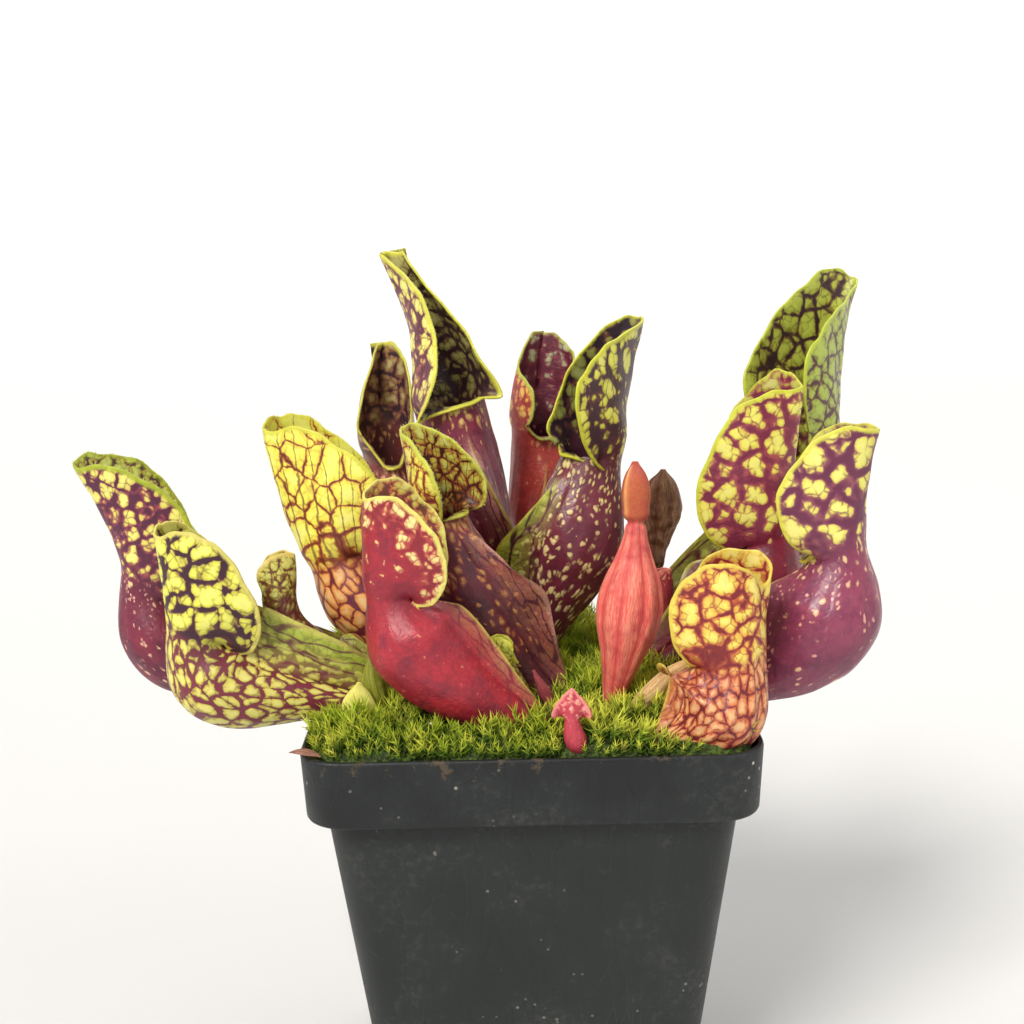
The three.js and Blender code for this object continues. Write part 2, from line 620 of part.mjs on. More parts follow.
// Round drain holes near the corners and a slot at the middle of each side.
function drainCutters() {
  const { diameter, inset, slot, slotWidth } = POT.drain;
  const reach = POT.foot / 2 - inset;
  const cutters = [];
  for (const x of [-reach, reach]) {
    for (const y of [-reach, reach]) {
      const hole = new THREE.CylinderGeometry(diameter / 2, diameter / 2, 4 * POT.floor, 16);
      cutters.push(solidOf(hole.rotateX(Math.PI / 2).translate(x, y, POT.floor / 2)));
    }
  }
  for (let side = 0; side < 4; side += 1) {
    const box = new THREE.BoxGeometry(slot, slotWidth, 4 * POT.floor);
    box.translate(0, -reach, POT.floor / 2).rotateZ((side * Math.PI) / 2);
    cutters.push(solidOf(box));
  }
  return cutters;
}

function pot() {
  const shell = solidOf(potShell());
  return geometryOf(drainCutters().reduce((left, cutter) => left.subtract(cutter), shell));
}

function pottingMix() {
  const inset = POT.wall + GAP + 0.1;
  const ledge = shoulderZ + POT.wall + 0.5;
  return skin([
    roundedSquare(bodyHalf(POT.floor) - inset, bodyCorner(0) - inset, POT.floor + GAP),
    roundedSquare(bodyHalf(shoulderZ) - inset, bodyCorner(shoulderZ) - inset, shoulderZ - 1),
    roundedSquare(collarFootHalf - inset - 0.2, POT.corner - inset, ledge),
    roundedSquare(collarFootHalf - inset, POT.corner - inset, SOIL_TOP),
  ]);
}

// ---------------------------------------------------------------- rhizome
// A bud of the rhizome stands behind the foot of each leaf, and stems join the
// buds to the nearest fork of a level, branched main stem.
const FORKS = {
  middle: [0, -6], left: [-24, -16], right: [24, -14], front: [18, -44], back: [0, 22],
};
const STEMS = [['middle', 'left'], ['middle', 'right'], ['middle', 'front'], ['middle', 'back']];

function footOf(spec) {
  if (spec.radii) {
    return { base: new THREE.Vector3(...spec.base), start: budAxis(spec).getTangent(0) };
  }
  const leaf = { ...USUAL, ...spec };
  return { base: new THREE.Vector3(...leaf.base, leaf.height), start: axisOf(leaf).start };
}

function stem(from, to, radius, sides) {
  const length = from.distanceTo(to);
  const tube = new THREE.CapsuleGeometry(radius, length, 1, sides, 1);
  const turn = new THREE.Quaternion().setFromUnitVectors(
    new THREE.Vector3(0, 1, 0),
    to.clone().sub(from).normalize(),
  );
  tube.applyQuaternion(turn);
  return solidOf(tube.translate(...from.clone().lerp(to, 0.5).toArray()));
}

function rhizome(leaves, margin = 0, sides = RHIZOME.sides) {
  const forks = Object.entries(FORKS).map(([, [x, y]]) => new THREE.Vector3(x, y, RHIZOME.height));
  const at = (name) => forks[Object.keys(FORKS).indexOf(name)];
  const size = (radius) => (radius + margin) / (margin > 0 ? Math.cos(Math.PI / sides) : 1);
  const solids = STEMS.map(([a, b]) => stem(at(a), at(b), size(RHIZOME.stem), sides));
  for (const spec of leaves) {
    const { base, start } = footOf(spec);
    const radius = spec.foot ?? RHIZOME.bud;
    const seat = base.addScaledVector(start, -(radius + GAP));
    const nearest = forks.reduce((best, fork) => (
      fork.distanceTo(seat) < best.distanceTo(seat) ? fork : best));
    const knob = new THREE.SphereGeometry(size(radius), sides + 1, 4);
    solids.push(solidOf(knob.rotateX(Math.PI / 2).translate(...seat.toArray())));
    const joint = seat.clone().setZ(RHIZOME.height);
    solids.push(stem(joint, nearest, size(RHIZOME.branch), sides));
  }
  return joined(solids);
}

// ---------------------------------------------------------------- moss carpet
function mossHeight(x, y) {
  const edge = Math.max(Math.abs(x), Math.abs(y)) / rimHalf;
  const mound = THREE.MathUtils.lerp(MOSS.crown, MOSS.rimHeight, edge ** 3);
  return mound + MOSS.heave * Math.sin(x * 0.21 + 1) * Math.cos(y * 0.17 + 0.6);
}

function mossCarpet(cutters) {
  const half = collarFootHalf - POT.wall - GAP - 0.3;
  const corner = POT.corner - POT.wall;
  const rings = [
    roundedSquare(half, corner, SOIL_TOP + GAP, 4),
    roundedSquare(half, corner, MOSS.rimHeight - 2, 4),
  ];
  for (const share of [0.97, 0.86, 0.72, 0.58, 0.44, 0.3, 0.15]) {
    const ring = roundedSquare(half * share, corner * share, 0, 4);
    ring.forEach((p) => { p.z = mossHeight(p.x, p.y); });
    rings.push(ring);
  }
  return cutters.reduce((left, cutter) => left.subtract(cutter), solidOf(skin(rings)));
}

// ---------------------------------------------------------------- loose scrap
// A curled brown scrap of dead leaf that lies on the rim's front left corner.
function scrap() {
  const curve = new THREE.QuadraticBezierCurve3(...SCRAP.path.map((p) => new THREE.Vector3(...p)));
  const rings = [];
  for (let r = 0; r <= 6; r += 1) {
    const u = r / 6;
    const width = SCRAP.halfWidth * (0.25 + 0.75 * Math.sin(Math.PI * u));
    const along = curve.getTangent(u);
    const across = new THREE.Vector3(0, 0, 1).cross(along).normalize();
    const up = along.clone().cross(across);
    const ring = [];
    for (let c = 0; c < 8; c += 1) {
      const theta = (Math.PI * c) / 4;
      ring.push(curve.getPoint(u)
        .addScaledVector(across, width * Math.cos(theta))
        .addScaledVector(up, SCRAP.halfThickness * Math.sin(theta)));
    }
    rings.push(ring);
  }
  return skin(rings);
}

// ---------------------------------------------------------------- the object
const object = new THREE.Group();

function addPiece(name, geometry, color, roughness) {
  const material = new THREE.MeshStandardMaterial({ color, roughness, metalness: 0 });
  const mesh = new THREE.Mesh(geometry, material);
  mesh.name = name;
  object.add(mesh);
}

const youngSpecs = Object.fromEntries(
  Object.entries(YOUNG_PITCHERS).map(([name, spec]) => {
    const leaf = { ...YOUNG, foot: RHIZOME.smallBud, ...spec };
    const ear = EAR.map((station) => station.map((value) => value * leaf.tall));
    return [name, { ...leaf, left: ear, right: ear }];
  }),
);
const budSpecs = Object.fromEntries(
  Object.entries(BUDS).map(([name, spec]) => [name, { foot: RHIZOME.smallBud, ...spec }]),
);
const pitcherSpecs = { ...PITCHERS, ...youngSpecs };
const leaves = [...Object.values(pitcherSpecs), ...Object.values(budSpecs)];

// The room that the leaves take up in the moss: a pitcher's round is coarser here
// than its own mesh, so it gets a wider margin than a bud.
const roots = [
  ...Object.values(pitcherSpecs).map((spec) => solidOf(pitcherRoot(spec, 0.95, 4 * GAP))),
  ...Object.values(budSpecs).map((spec) => solidOf(bud(spec, 2 * GAP, 0.8))),
];

addPiece('square_pot', pot(), 0x2b3133, 0.55);
addPiece('potting_mix', pottingMix(), 0x3a2a1e, 0.95);
addPiece('rhizome', geometryOf(rhizome(leaves)), 0x6b3a2a, 0.8);
addPiece('moss_carpet', geometryOf(mossCarpet([rhizome(leaves, GAP, 4), ...roots])), 0x7d9a28, 0.9);
for (const [name, spec] of Object.entries(pitcherSpecs)) {
  addPiece(name, pitcher(spec), spec.color, 0.45);
}
for (const [name, spec] of Object.entries(budSpecs)) {
  addPiece(name, bud(spec), spec.color, 0.5);
}
addPiece('leaf_scrap', scrap(), 0x4a3024, 0.9);

export default object;
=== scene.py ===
# %% [markdown]
# # A pitcher plant in its nursery pot
# A clump of hollow, hooded leaves stands in live moss in a square dark pot. The
# packed solids give every piece its place. Each visible piece is made again here,
# finer and with its real finish, in metres, where its solid is.

# %% Load the packed model
import math
import bmesh
import bpy
import numpy as np
from mathutils import Matrix, Vector, noise
from mathutils.bvhtree import BVHTree


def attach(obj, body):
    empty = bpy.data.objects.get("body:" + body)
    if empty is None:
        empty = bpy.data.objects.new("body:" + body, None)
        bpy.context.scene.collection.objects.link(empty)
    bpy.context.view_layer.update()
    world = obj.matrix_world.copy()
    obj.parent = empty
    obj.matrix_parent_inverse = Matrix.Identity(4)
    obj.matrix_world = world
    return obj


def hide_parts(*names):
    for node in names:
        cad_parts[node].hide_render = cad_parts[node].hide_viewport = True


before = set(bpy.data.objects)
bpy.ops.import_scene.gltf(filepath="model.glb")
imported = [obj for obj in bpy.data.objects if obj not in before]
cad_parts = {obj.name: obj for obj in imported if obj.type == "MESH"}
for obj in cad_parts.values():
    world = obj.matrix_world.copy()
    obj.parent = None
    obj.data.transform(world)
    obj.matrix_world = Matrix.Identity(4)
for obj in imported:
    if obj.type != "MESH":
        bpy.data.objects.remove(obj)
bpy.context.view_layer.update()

MM = 0.001

# %% [markdown]
# ## Camera, floor and light
# The photograph looks a little down on the plant from its front, with a normal
# lens, and leans by about a degree. The camera stands where it was taken. A pale
# sheet of paper is the floor. Three large soft lamps light the plant as in a
# studio: one high at the left, a weaker one at the right, and one from behind
# that shines along the edges of the hoods.

# %% Camera
STANDPOINT = Vector((-4.172, -450.582, 281.126)) * MM
PITCH, LEAN = math.radians(78.0), math.radians(-1.2293)
camera = bpy.data.objects.new("camera", bpy.data.cameras.new("camera"))
camera.data.lens, camera.data.sensor_width = 52.73, 36.0
camera.data.clip_start, camera.data.clip_end = 0.02, 20.0
turn = Matrix.Rotation(PITCH, 4, "X") @ Matrix.Rotation(LEAN, 4, "Z")
camera.matrix_world = Matrix.Translation(STANDPOINT) @ turn
bpy.context.scene.collection.objects.link(camera)
bpy.context.scene.camera = camera
print("the camera stands", round(STANDPOINT.length, 3), "m from the middle of the pot's foot")

# %% Lamps and sky
def lamp(name, place, strength, spread, tint):
    """A far light that shines from a place towards the plant; a wide spread gives soft shadows."""
    light = bpy.data.lights.new(name, "SUN")
    light.energy, light.angle, light.color = strength, math.radians(spread), tint
    holder = bpy.data.objects.new(name, light)
    turn = (-Vector(place)).to_track_quat("-Z", "Y").to_matrix().to_4x4()
    holder.matrix_world = Matrix.Translation(place) @ turn
    bpy.context.scene.collection.objects.link(holder)


lamp("key_lamp", (-0.5, -0.75, 0.85), 3.3, 24, (1.0, 0.97, 0.92))
lamp("fill_lamp", (0.8, -0.55, 0.45), 1.1, 50, (0.95, 0.97, 1.0))
lamp("edge_lamp", (0.35, 0.75, 0.75), 1.0, 30, (1.0, 1.0, 1.0))
world = bpy.data.worlds.new("studio")
world.use_nodes = True
world.node_tree.nodes["Background"].inputs["Color"].default_value = (0.9, 0.92, 0.95, 1)
world.node_tree.nodes["Background"].inputs["Strength"].default_value = 0.42
bpy.context.scene.world = world
bpy.context.scene.view_settings.view_transform = "Standard"
print("lamps:", [light.name for light in bpy.data.lights])

# %% [markdown]
# ## Mixing a finish
# A finish is a small web of nodes. Writing each node by hand is long, so one
# helper keeps a material together and adds its nodes by short calls. Each call
# returns what its node gives out, and the next call takes it in.

# %% Colour codes
def colour(code):
    """The colour of a paint chart's hex code, in the linear values that a shader takes."""
    parts = [int(code[i:i + 2], 16) / 255 for i in (0, 2, 4)]
    return tuple(c / 12.92 if c < 0.04045 else ((c + 0.055) / 1.055) ** 2.4 for c in parts) + (1.0,)


# %% A helper that mixes a finish
class Finish:
    """A material in the making; each call adds a node and gives back what the node gives out."""

    def __init__(self, name, **sockets):
        self.material = bpy.data.materials.new(name)
        self.material.use_nodes = True
        self.tree = self.material.node_tree
        self.shader = self.tree.nodes["Principled BSDF"]
        self.paint(**sockets)

    def paint(self, **sockets):
        """Sets the shader's own sockets, such as Base_Color."""
        for socket, value in sockets.items():
            self.put(self.shader.inputs[socket.replace("_", " ")], value)

    def put(self, socket, value):
        if isinstance(value, bpy.types.NodeSocket):
            self.tree.links.new(value, socket)
        else:
            socket.default_value = value

    def add(self, kind, inputs, output=0, **settings):
        node = self.tree.nodes.new("ShaderNode" + kind)
        for key, value in settings.items():
            setattr(node, key, value)
        for key, value in inputs.items():
            self.put(node.inputs[key], value)
        return node.outputs[output]

    def place(self):
        return self.add("TexCoord", {}, "Object")

    def layer(self, name):
        return self.add("Attribute", {}, "Fac", attribute_name=name)

    def math(self, operation, a, b=0.0, clamp=False):
        return self.add("Math", {0: a, 1: b}, operation=operation, use_clamp=clamp)

    def times(self, a, b, clamp=False):
        return self.math("MULTIPLY", a, b, clamp)

    def plus(self, a, b, clamp=False):
        return self.math("ADD", a, b, clamp)

    def minus(self, a, b):
        return self.math("SUBTRACT", a, b)

    def span(self, value, low, high):
        """Values from 0 to 1, spread evenly from low to high."""
        return self.add("MapRange", {"Value": value, "To Min": low, "To Max": high})

    def step(self, value, low, high, out_low=0.0, out_high=1.0):
        """A smooth change from out_low to out_high while the value goes from low to high."""
        inputs = {"Value": value, "From Min": low, "From Max": high, "To Min": out_low, "To Max": out_high}
        return self.add("MapRange", inputs, interpolation_type="SMOOTHSTEP")

    def mix(self, share, a, b, blend="MIX"):
        """Two colours; the node's sockets 6 and 7 are those that hold colours."""
        return self.add("Mix", {0: share, 6: a, 7: b}, 2, data_type="RGBA", blend_type=blend)

    def blend(self, share, a, b):
        """Two plain numbers, in the same way."""
        return self.add("Mix", {0: share, 2: a, 3: b}, 0, data_type="FLOAT")

    def shade(self, tint, value, low, high, share):
        """The tint, made darker or lighter by a value."""
        grey = self.span(value, low, high)
        grey = self.add("CombineColor", {"Red": grey, "Green": grey, "Blue": grey})
        return self.mix(share, tint, grey, "MULTIPLY")

    def grain(self, place, scale, detail=3.0, rough=0.55, output="Fac"):
        inputs = {"Vector": place, "Scale": scale, "Detail": detail, "Roughness": rough}
        return self.add("TexNoise", inputs, output)

    def stretch(self, place, scale, shift=(0, 0, 0)):
        return self.add("Mapping", {"Vector": place, "Scale": scale, "Location": shift})

    def wander(self, place, scale, reach):
        """The place, pushed about by a slow noise, so that lines drawn on it wander."""
        push = self.grain(place, scale, 2.0, output="Color")
        centred = self.add("VectorMath", {0: push, 1: (0.5, 0.5, 0.5)}, operation="SUBTRACT")
        pushed = self.add("VectorMath", {0: centred, "Scale": reach}, operation="SCALE")
        return self.add("VectorMath", {0: place, 1: pushed}, operation="ADD")

    def net(self, place, scale, loose=1.0, flat="2D"):
        """The distance to the nearest border of a net of cells."""
        inputs = {"Vector": place, "Scale": scale, "Randomness": loose}
        return self.add("TexVoronoi", inputs, "Distance", feature="DISTANCE_TO_EDGE", voronoi_dimensions=flat)

    def cells(self, place, scale, loose=1.0, flat="2D"):
        """The distance to the middle of the nearest cell."""
        inputs = {"Vector": place, "Scale": scale, "Randomness": loose}
        return self.add("TexVoronoi", inputs, "Distance", voronoi_dimensions=flat)

    def bump(self, height, distance, strength=0.6):
        self.paint(Normal=self.add("Bump", {"Height": height, "Distance": distance, "Strength": strength}))


print("the helper mixes", [name for name in vars(Finish) if not name.startswith("_")])

# %% [markdown]
# ## Putting a piece in the scene
# Every finished piece keeps its place in its mesh, rides on the one body, hides
# the solid that it stands for, and says which slot its finish belongs to.

# %% Adding a piece
def as_object(name, bm, materials=(), smooth=True):
    """An object in the scene, from a bmesh that isn't needed after it."""
    mesh = bpy.data.meshes.new(name)
    bm.to_mesh(mesh)
    bm.free()
    for material in materials:
        mesh.materials.append(material)
    mesh.polygons.foreach_set("use_smooth", [smooth] * len(mesh.polygons))
    made = bpy.data.objects.new(name, mesh)
    bpy.context.scene.collection.objects.link(made)
    return made


def stand_in(name, bm, materials, nodes, smooth=True):
    """Makes the piece from its bmesh, in metres, and lets it stand for the named solids."""
    piece = as_object(name, bm, materials, smooth)
    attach(piece, "root")
    if nodes:
        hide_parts(*nodes)
    print(name, len(piece.data.polygons), "faces")
    return piece


# %% [markdown]
# ## A floor without a horizon
# A sheet of paper that curves up behind the plant hides the line between floor
# and wall. The plant is looked at from all sides, so the paper curves up all
# round: a profile of a flat floor, a quarter bend and a low wall is spun into a
# dish.

# %% Paper dish
FLAT, BEND, WALL_TOP = 2.2, 1.2, 2.6


def paper_dish():
    bm = bmesh.new()
    bend = [(FLAT + BEND * math.sin(a), BEND - BEND * math.cos(a)) for a in np.radians(range(10, 91, 10))]
    profile = [(0.3, 0), (1.2, 0), (FLAT, 0), *bend, (FLAT + BEND, WALL_TOP)]
    verts = [bm.verts.new((x, 0, z)) for x, z in profile]
    edges = [bm.edges.new(pair) for pair in zip(verts, verts[1:])]
    bmesh.ops.spin(bm, geom=verts + edges, cent=(0, 0, 0), axis=(0, 0, 1), angle=2 * math.pi, steps=64,
                   use_merge=True)
    inner = [e for e in bm.edges if e.is_boundary and e.verts[0].co.z < 0.01]
    bmesh.ops.contextual_create(bm, geom=inner)
    bmesh.ops.recalc_face_normals(bm, faces=bm.faces)
    if sum(f.normal.z for f in bm.faces) < 0:
        bmesh.ops.reverse_faces(bm, faces=bm.faces)
    return bm


paper = Finish("studio_paper", Roughness=0.9)
tooth = paper.grain(paper.place(), 900.0)
paper.paint(Base_Color=paper.mix(tooth, colour("dedddb"), colour("e2e1df")))
floor = as_object("paper_floor", paper_dish(), [paper.material])
print("paper dish:", len(floor.data.polygons), "faces")

# %% [markdown]
# ## The square pot
# A nursery pot is blow-moulded or pressed from thin black plastic: a tapered body
# with round corners, and a deep collar that stiffens the rim. One square with
# bevelled corners, extruded upwards and scaled at each level, gives the outside;
# the same ring turned in over the rim and extruded down gives the inside. That
# keeps the wall one clean skin, and only the drain holes are cut with a boolean.

# %% Sizes of the pot, and a ring that climbs
POT = {
    "height": 130, "rim": 130, "collar": 20, "taper": 0.9, "shoulder": 117.5, "foot": 90, "wall": 1.6,
    "floor": 2, "corner": 8.5,
}
DRAIN = {"from_side": 15, "hole": 4, "slot": (26, 6), "deep": 8}


def ring_up(bm, ring, half, height, was):
    """Extrudes the ring of edges to a new height, and from the half width that it was to a new one."""
    made = bmesh.ops.extrude_edge_only(bm, edges=ring)["geom"]
    verts = [g for g in made if isinstance(g, bmesh.types.BMVert)]
    for v in verts:
        v.co.z = height
    bmesh.ops.scale(bm, vec=(half / was, half / was, 1), verts=verts)
    return [g for g in made if isinstance(g, bmesh.types.BMEdge)], half


def square_with_round_corners(half, corner):
    bm = bmesh.new()
    bmesh.ops.create_grid(bm, x_segments=1, y_segments=1, size=half)
    bmesh.ops.bevel(bm, geom=list(bm.verts), offset=corner, affect="VERTICES", segments=10,
                    profile=0.5, material=-1)
    return bm


# %% The pot's shell
def pot_shell():
    """The shell's skin: a ring climbs the outside, turns in over the rim and goes down to the floor."""
    top, shoulder = POT["height"], POT["height"] - POT["collar"]
    rim, body, foot, wall = POT["rim"] / 2, POT["shoulder"] / 2, POT["foot"] / 2, POT["wall"]
    collar = rim - POT["taper"]
    round_foot, round_collar, tall_collar = 1.2, 0.9, 18.0
    at = foot - round_foot
    bm = square_with_round_corners(at, POT["corner"])
    ring = list(bm.edges)
    climb = [(foot - 0.35, 0.35), (foot, round_foot)]
    for k in range(1, 9):
        climb.append((foot + (body - foot) * k / 8, round_foot + (shoulder - 2.0 - round_foot) * k / 8))
    climb += [(body + 0.1, shoulder - 0.5), (body + 0.7, shoulder), (collar - 1.0, shoulder)]
    climb += [(collar - 0.3, shoulder + 0.25), (collar, shoulder + round_collar)]
    for k in range(1, 4):
        climb.append((collar + POT["taper"] * k / 3, shoulder + round_collar + tall_collar * k / 3))
    climb += [(rim - 0.15, top - 0.3), (rim - 0.5, top), (rim - 1.1, top)]
    climb += [(rim - wall + 0.15, top - 0.3), (rim - wall, top - 1.0)]
    climb += [(collar - wall, shoulder + wall), (body - wall, shoulder - 1), (foot - wall, POT["floor"])]
    for half, height in climb:
        ring, at = ring_up(bm, ring, half, height, at)
    bmesh.ops.contextual_create(bm, geom=ring)
    return bm


# %% Drain holes
def drain_cutter():
    """Posts and bars that stand where the floor has its holes and slots."""
    reach, hole, deep = POT["foot"] / 2 - DRAIN["from_side"], DRAIN["hole"], DRAIN["deep"]
    cutter = bmesh.new()
    for side in range(4):
        turn = Matrix.Rotation(side * math.pi / 2, 4, "Z")
        post = turn @ Matrix.Translation((reach, reach, 1))
        bmesh.ops.create_cone(cutter, cap_ends=True, segments=24, radius1=hole, radius2=hole, depth=deep,
                              matrix=post)
        bar = turn @ Matrix.Translation((0, -reach, 1)) @ Matrix.Diagonal((*DRAIN["slot"], deep, 1))
        bmesh.ops.create_cube(cutter, size=1, matrix=bar)
    return cutter


def cut(bm, cutter):
    """Takes the cutter out of the piece, and gives the piece back as a new bmesh."""
    blank, tool = as_object("blank", bm), as_object("cutter", cutter)
    saw = blank.modifiers.new("saw", "BOOLEAN")
    saw.operation, saw.solver, saw.object = "DIFFERENCE", "EXACT", tool
    whole = bmesh.new()
    whole.from_object(blank, bpy.context.evaluated_depsgraph_get())
    for temporary in (blank, tool):
        bpy.data.objects.remove(temporary)
    return whole


bm = pot_shell()
bmesh.ops.recalc_face_normals(bm, faces=bm.faces)
bm = cut(bm, drain_cutter())
bmesh.ops.scale(bm, vec=(MM, MM, MM), verts=bm.verts)
print("pot skin:", len(bm.faces), "faces, closed:", all(e.is_manifold for e in bm.edges))

# %% [markdown]
# ## Charcoal plastic
# Old pots are dull and never quite black. Water leaves a grey film, dust settles
# where the collar meets the body, and fine scratches run in all directions. Two
# noises of different scale give the film, a stretched noise gives scratches, and
# white grains of perlite and splashes of earth stick near the rim.

# %% The pot's finish
def charcoal_plastic():
    f = Finish("charcoal_plastic", Metallic=0.0, Specular_IOR_Level=0.4)
    place = f.place()
    film, fine = f.grain(place, 38.0, 6.0, 0.6), f.grain(place, 420.0, 4.0, 0.7)
    height = f.add("SeparateXYZ", {"Vector": place}, "Z")
    collar, near_rim = f.step(height, 0.1085, 0.112), f.step(height, 0.118, 0.131)
    base = f.mix(f.step(film, 0.35, 0.7), colour("181b1b"), colour("25292a"))
    base = f.mix(f.times(f.minus(1.0, collar), 0.35), base, colour("2b302e"))
    scratched = f.wander(f.stretch(place, (1.0, 1.0, 0.22)), 30.0, 0.02)
    scratch = f.step(f.net(scratched, 190.0, 1.0, "3D"), 0.012, 0.0)
    some = f.step(f.grain(place, 22.0, 2.0), 0.5, 0.68)
    base = f.mix(f.times(f.times(scratch, some), 0.12), base, colour("6b6f70"))
    dust = f.step(f.times(fine, film), 0.27, 0.42)
    base = f.mix(f.times(dust, 0.22), base, colour("5d5a52"))
    grit = f.add("TexVoronoi", {"Vector": place, "Scale": 330.0}, "Distance")
    rare = f.step(f.grain(place, 75.0, 1.0), 0.62, 0.66)
    speck = f.times(f.times(f.step(grit, 0.2, 0.1), rare), f.plus(near_rim, 0.25), clamp=True)
    base = f.mix(speck, base, colour("cfc9bd"))
    earth = f.step(f.plus(f.grain(place, 150.0, 5.0, 0.7), f.times(near_rim, 0.16)), 0.7, 0.78)
    base = f.mix(f.times(earth, 0.7), base, colour("5b4a38"))
    f.paint(Base_Color=base, Roughness=f.plus(f.step(film, 0.3, 0.75, 0.42, 0.62), f.times(speck, 0.3)))
    relief = f.plus(f.times(fine, 0.3), f.times(scratch, -0.6))
    f.bump(f.plus(relief, f.times(earth, 1.2)), 0.00025)
    return f.material


stand_in("nursery_pot", bm, [charcoal_plastic()], ["square_pot"])

# %% [markdown]
# ## The shape of a pitcher leaf
# A pitcher is a leaf rolled into a hollow vessel. A thin foot rises from the
# rhizome, bends up, swells into a belly and narrows to a throat. A flat wing runs
# up its front. Above the throat the back of the mouth flares into a hood of two
# lobes, and across the front the edge rolls outwards as a lip. A real leaf is one
# skin, so it is modelled as one grid: each row is a ring round the leaf, and the
# rows climb the outside, turn over the margin and go down the inside. The grid's
# points are moved by the leaf's own measures, which is easier to steer than
# sculpting and gives every leaf a clean skin of one build.
#
# The measures are in mm and degrees, in the pot's frame. The axis runs from base
# to mouth. It leaves the ground at the angle start, ends lean degrees from
# upright, tipped towards lean_to, and pull says how far its ends reach into the
# bend. The mouth opens towards facing, and oblique lowers its front. root, belly
# and throat are radii, with the belly at the share belly_at of the way up. left
# and right are the two lobes of the hood's margin, from keel to corner. wash is
# how red the leaf is at even steps from its foot to its margin.

# %% Curves through stations
def through(stations, x):
    """A smooth value through evenly spaced stations, read at x from 0 to 1."""
    values = np.asarray(stations, float)
    last = len(values) - 1
    x = np.clip(np.asarray(x, float), 0, 1) * last
    i = np.minimum(x.astype(int), last - 1)
    t = x - i
    p0, p1, p2, p3 = (values[np.clip(i + k, 0, last)] for k in (-1, 0, 1, 2))
    square, cube = 2 * p0 - 5 * p1 + 4 * p2 - p3, 3 * p1 - p0 - 3 * p2 + p3
    return 0.5 * (2 * p1 + (p2 - p0) * t + square * t**2 + cube * t**3)


def ease(x, low=0.0, high=1.0):
    """A smooth change from 0 to 1 while x goes from low to high."""
    x = np.clip((np.asarray(x, float) - low) / (high - low), 0, 1)
    return x * x * (3 - 2 * x)


def unit(vectors):
    return vectors / np.maximum(np.linalg.norm(vectors, axis=-1, keepdims=True), 1e-9)


def bearing(azimuth, height=0.0):
    """The way that points to an azimuth and a height above the ground, in degrees."""
    a, h = math.radians(azimuth), math.radians(height)
    return np.array([math.cos(a) * math.cos(h), math.sin(a) * math.cos(h), math.sin(h)])


# %% What most leaves have in common
CROWN = 128.5
USUAL = {
    "root": 3.0, "belly_at": 0.62, "deep": 1.05, "swell": 1.15, "pull": (0.45, 0.4), "lean": 8, "wing": 8,
    "wing_full": 0.9, "wing_span": (0.06, 0.93), "sway": 0.9, "oblique": 0.14, "stiff": 0.35, "cheek": 2,
    "lip": 1.8, "ruffle": 0.012, "wall": 1.0, "lumps": 0.55, "ribs": 0.1, "rib_count": 13,
    "columns": 92, "fold": 6, "tube": 66, "hood": 36, "inner": 24,
}
WING_ROOT, WING_HALF, WING_FULL = 0.3, 0.7, 3
CORNER, ROLL, LIP_FAN = math.radians(150), math.radians(16), math.radians(95)


# %% The leaf's axis
def axis_at(leaf, u):
    """The axis at u, 0 at the foot and 1 at the throat: its centre, and the ways along, aside and ahead."""
    base, mouth = np.array([*leaf["base"], CROWN]), np.array(leaf["mouth"], float)
    length = np.linalg.norm(mouth - base)
    heading = math.degrees(math.atan2(mouth[1] - base[1], mouth[0] - base[0]))
    start = bearing(heading, leaf["start"])
    end = bearing(leaf.get("lean_to", heading), 90 - leaf["lean"])
    first, second = leaf["pull"]
    a, b, c, d = base, base + start * length * first, mouth - end * length * second, mouth
    u = np.asarray(u, float)[..., None]
    centre = (1 - u)**3 * a + 3 * (1 - u)**2 * u * b + 3 * (1 - u) * u * u * c + u**3 * d
    along = unit((1 - u)**2 * (b - a) + 2 * (1 - u) * u * (c - b) + u * u * (d - c))
    side_start = unit(np.cross(start, bearing(heading, leaf["start"] + 90)))
    side_end = unit(np.cross(end, bearing(leaf["facing"])))
    turn = ease(u)
    side = side_start * (1 - turn) + side_end * turn
    side = unit(side - along * np.sum(side * along, -1, keepdims=True))
    return centre, along, side, np.cross(side, along)


def girth_at(leaf, u):
    """The tube's radius at u: from the root up to the belly, and in again to the throat."""
    rise = np.sin(np.pi / 2 * np.clip(u / leaf["belly_at"], 0, 1) ** leaf["swell"]) ** 2
    fall = np.cos(np.pi / 2 * np.clip((u - leaf["belly_at"]) / (1 - leaf["belly_at"]), 0, 1)) ** 2
    low = leaf["root"] + (leaf["belly"] - leaf["root"]) * rise
    high = leaf["throat"] + (leaf["belly"] - leaf["throat"]) * fall
    return np.where(u < leaf["belly_at"], low, high)


def wing_at(leaf, u):
    """How far the wing stands out at u."""
    first, last = leaf["wing_span"]
    x = np.clip((u - first) / (last - first), 0, 1)
    return leaf["wing"] * np.sin(np.pi * x**0.85) ** leaf["wing_full"]


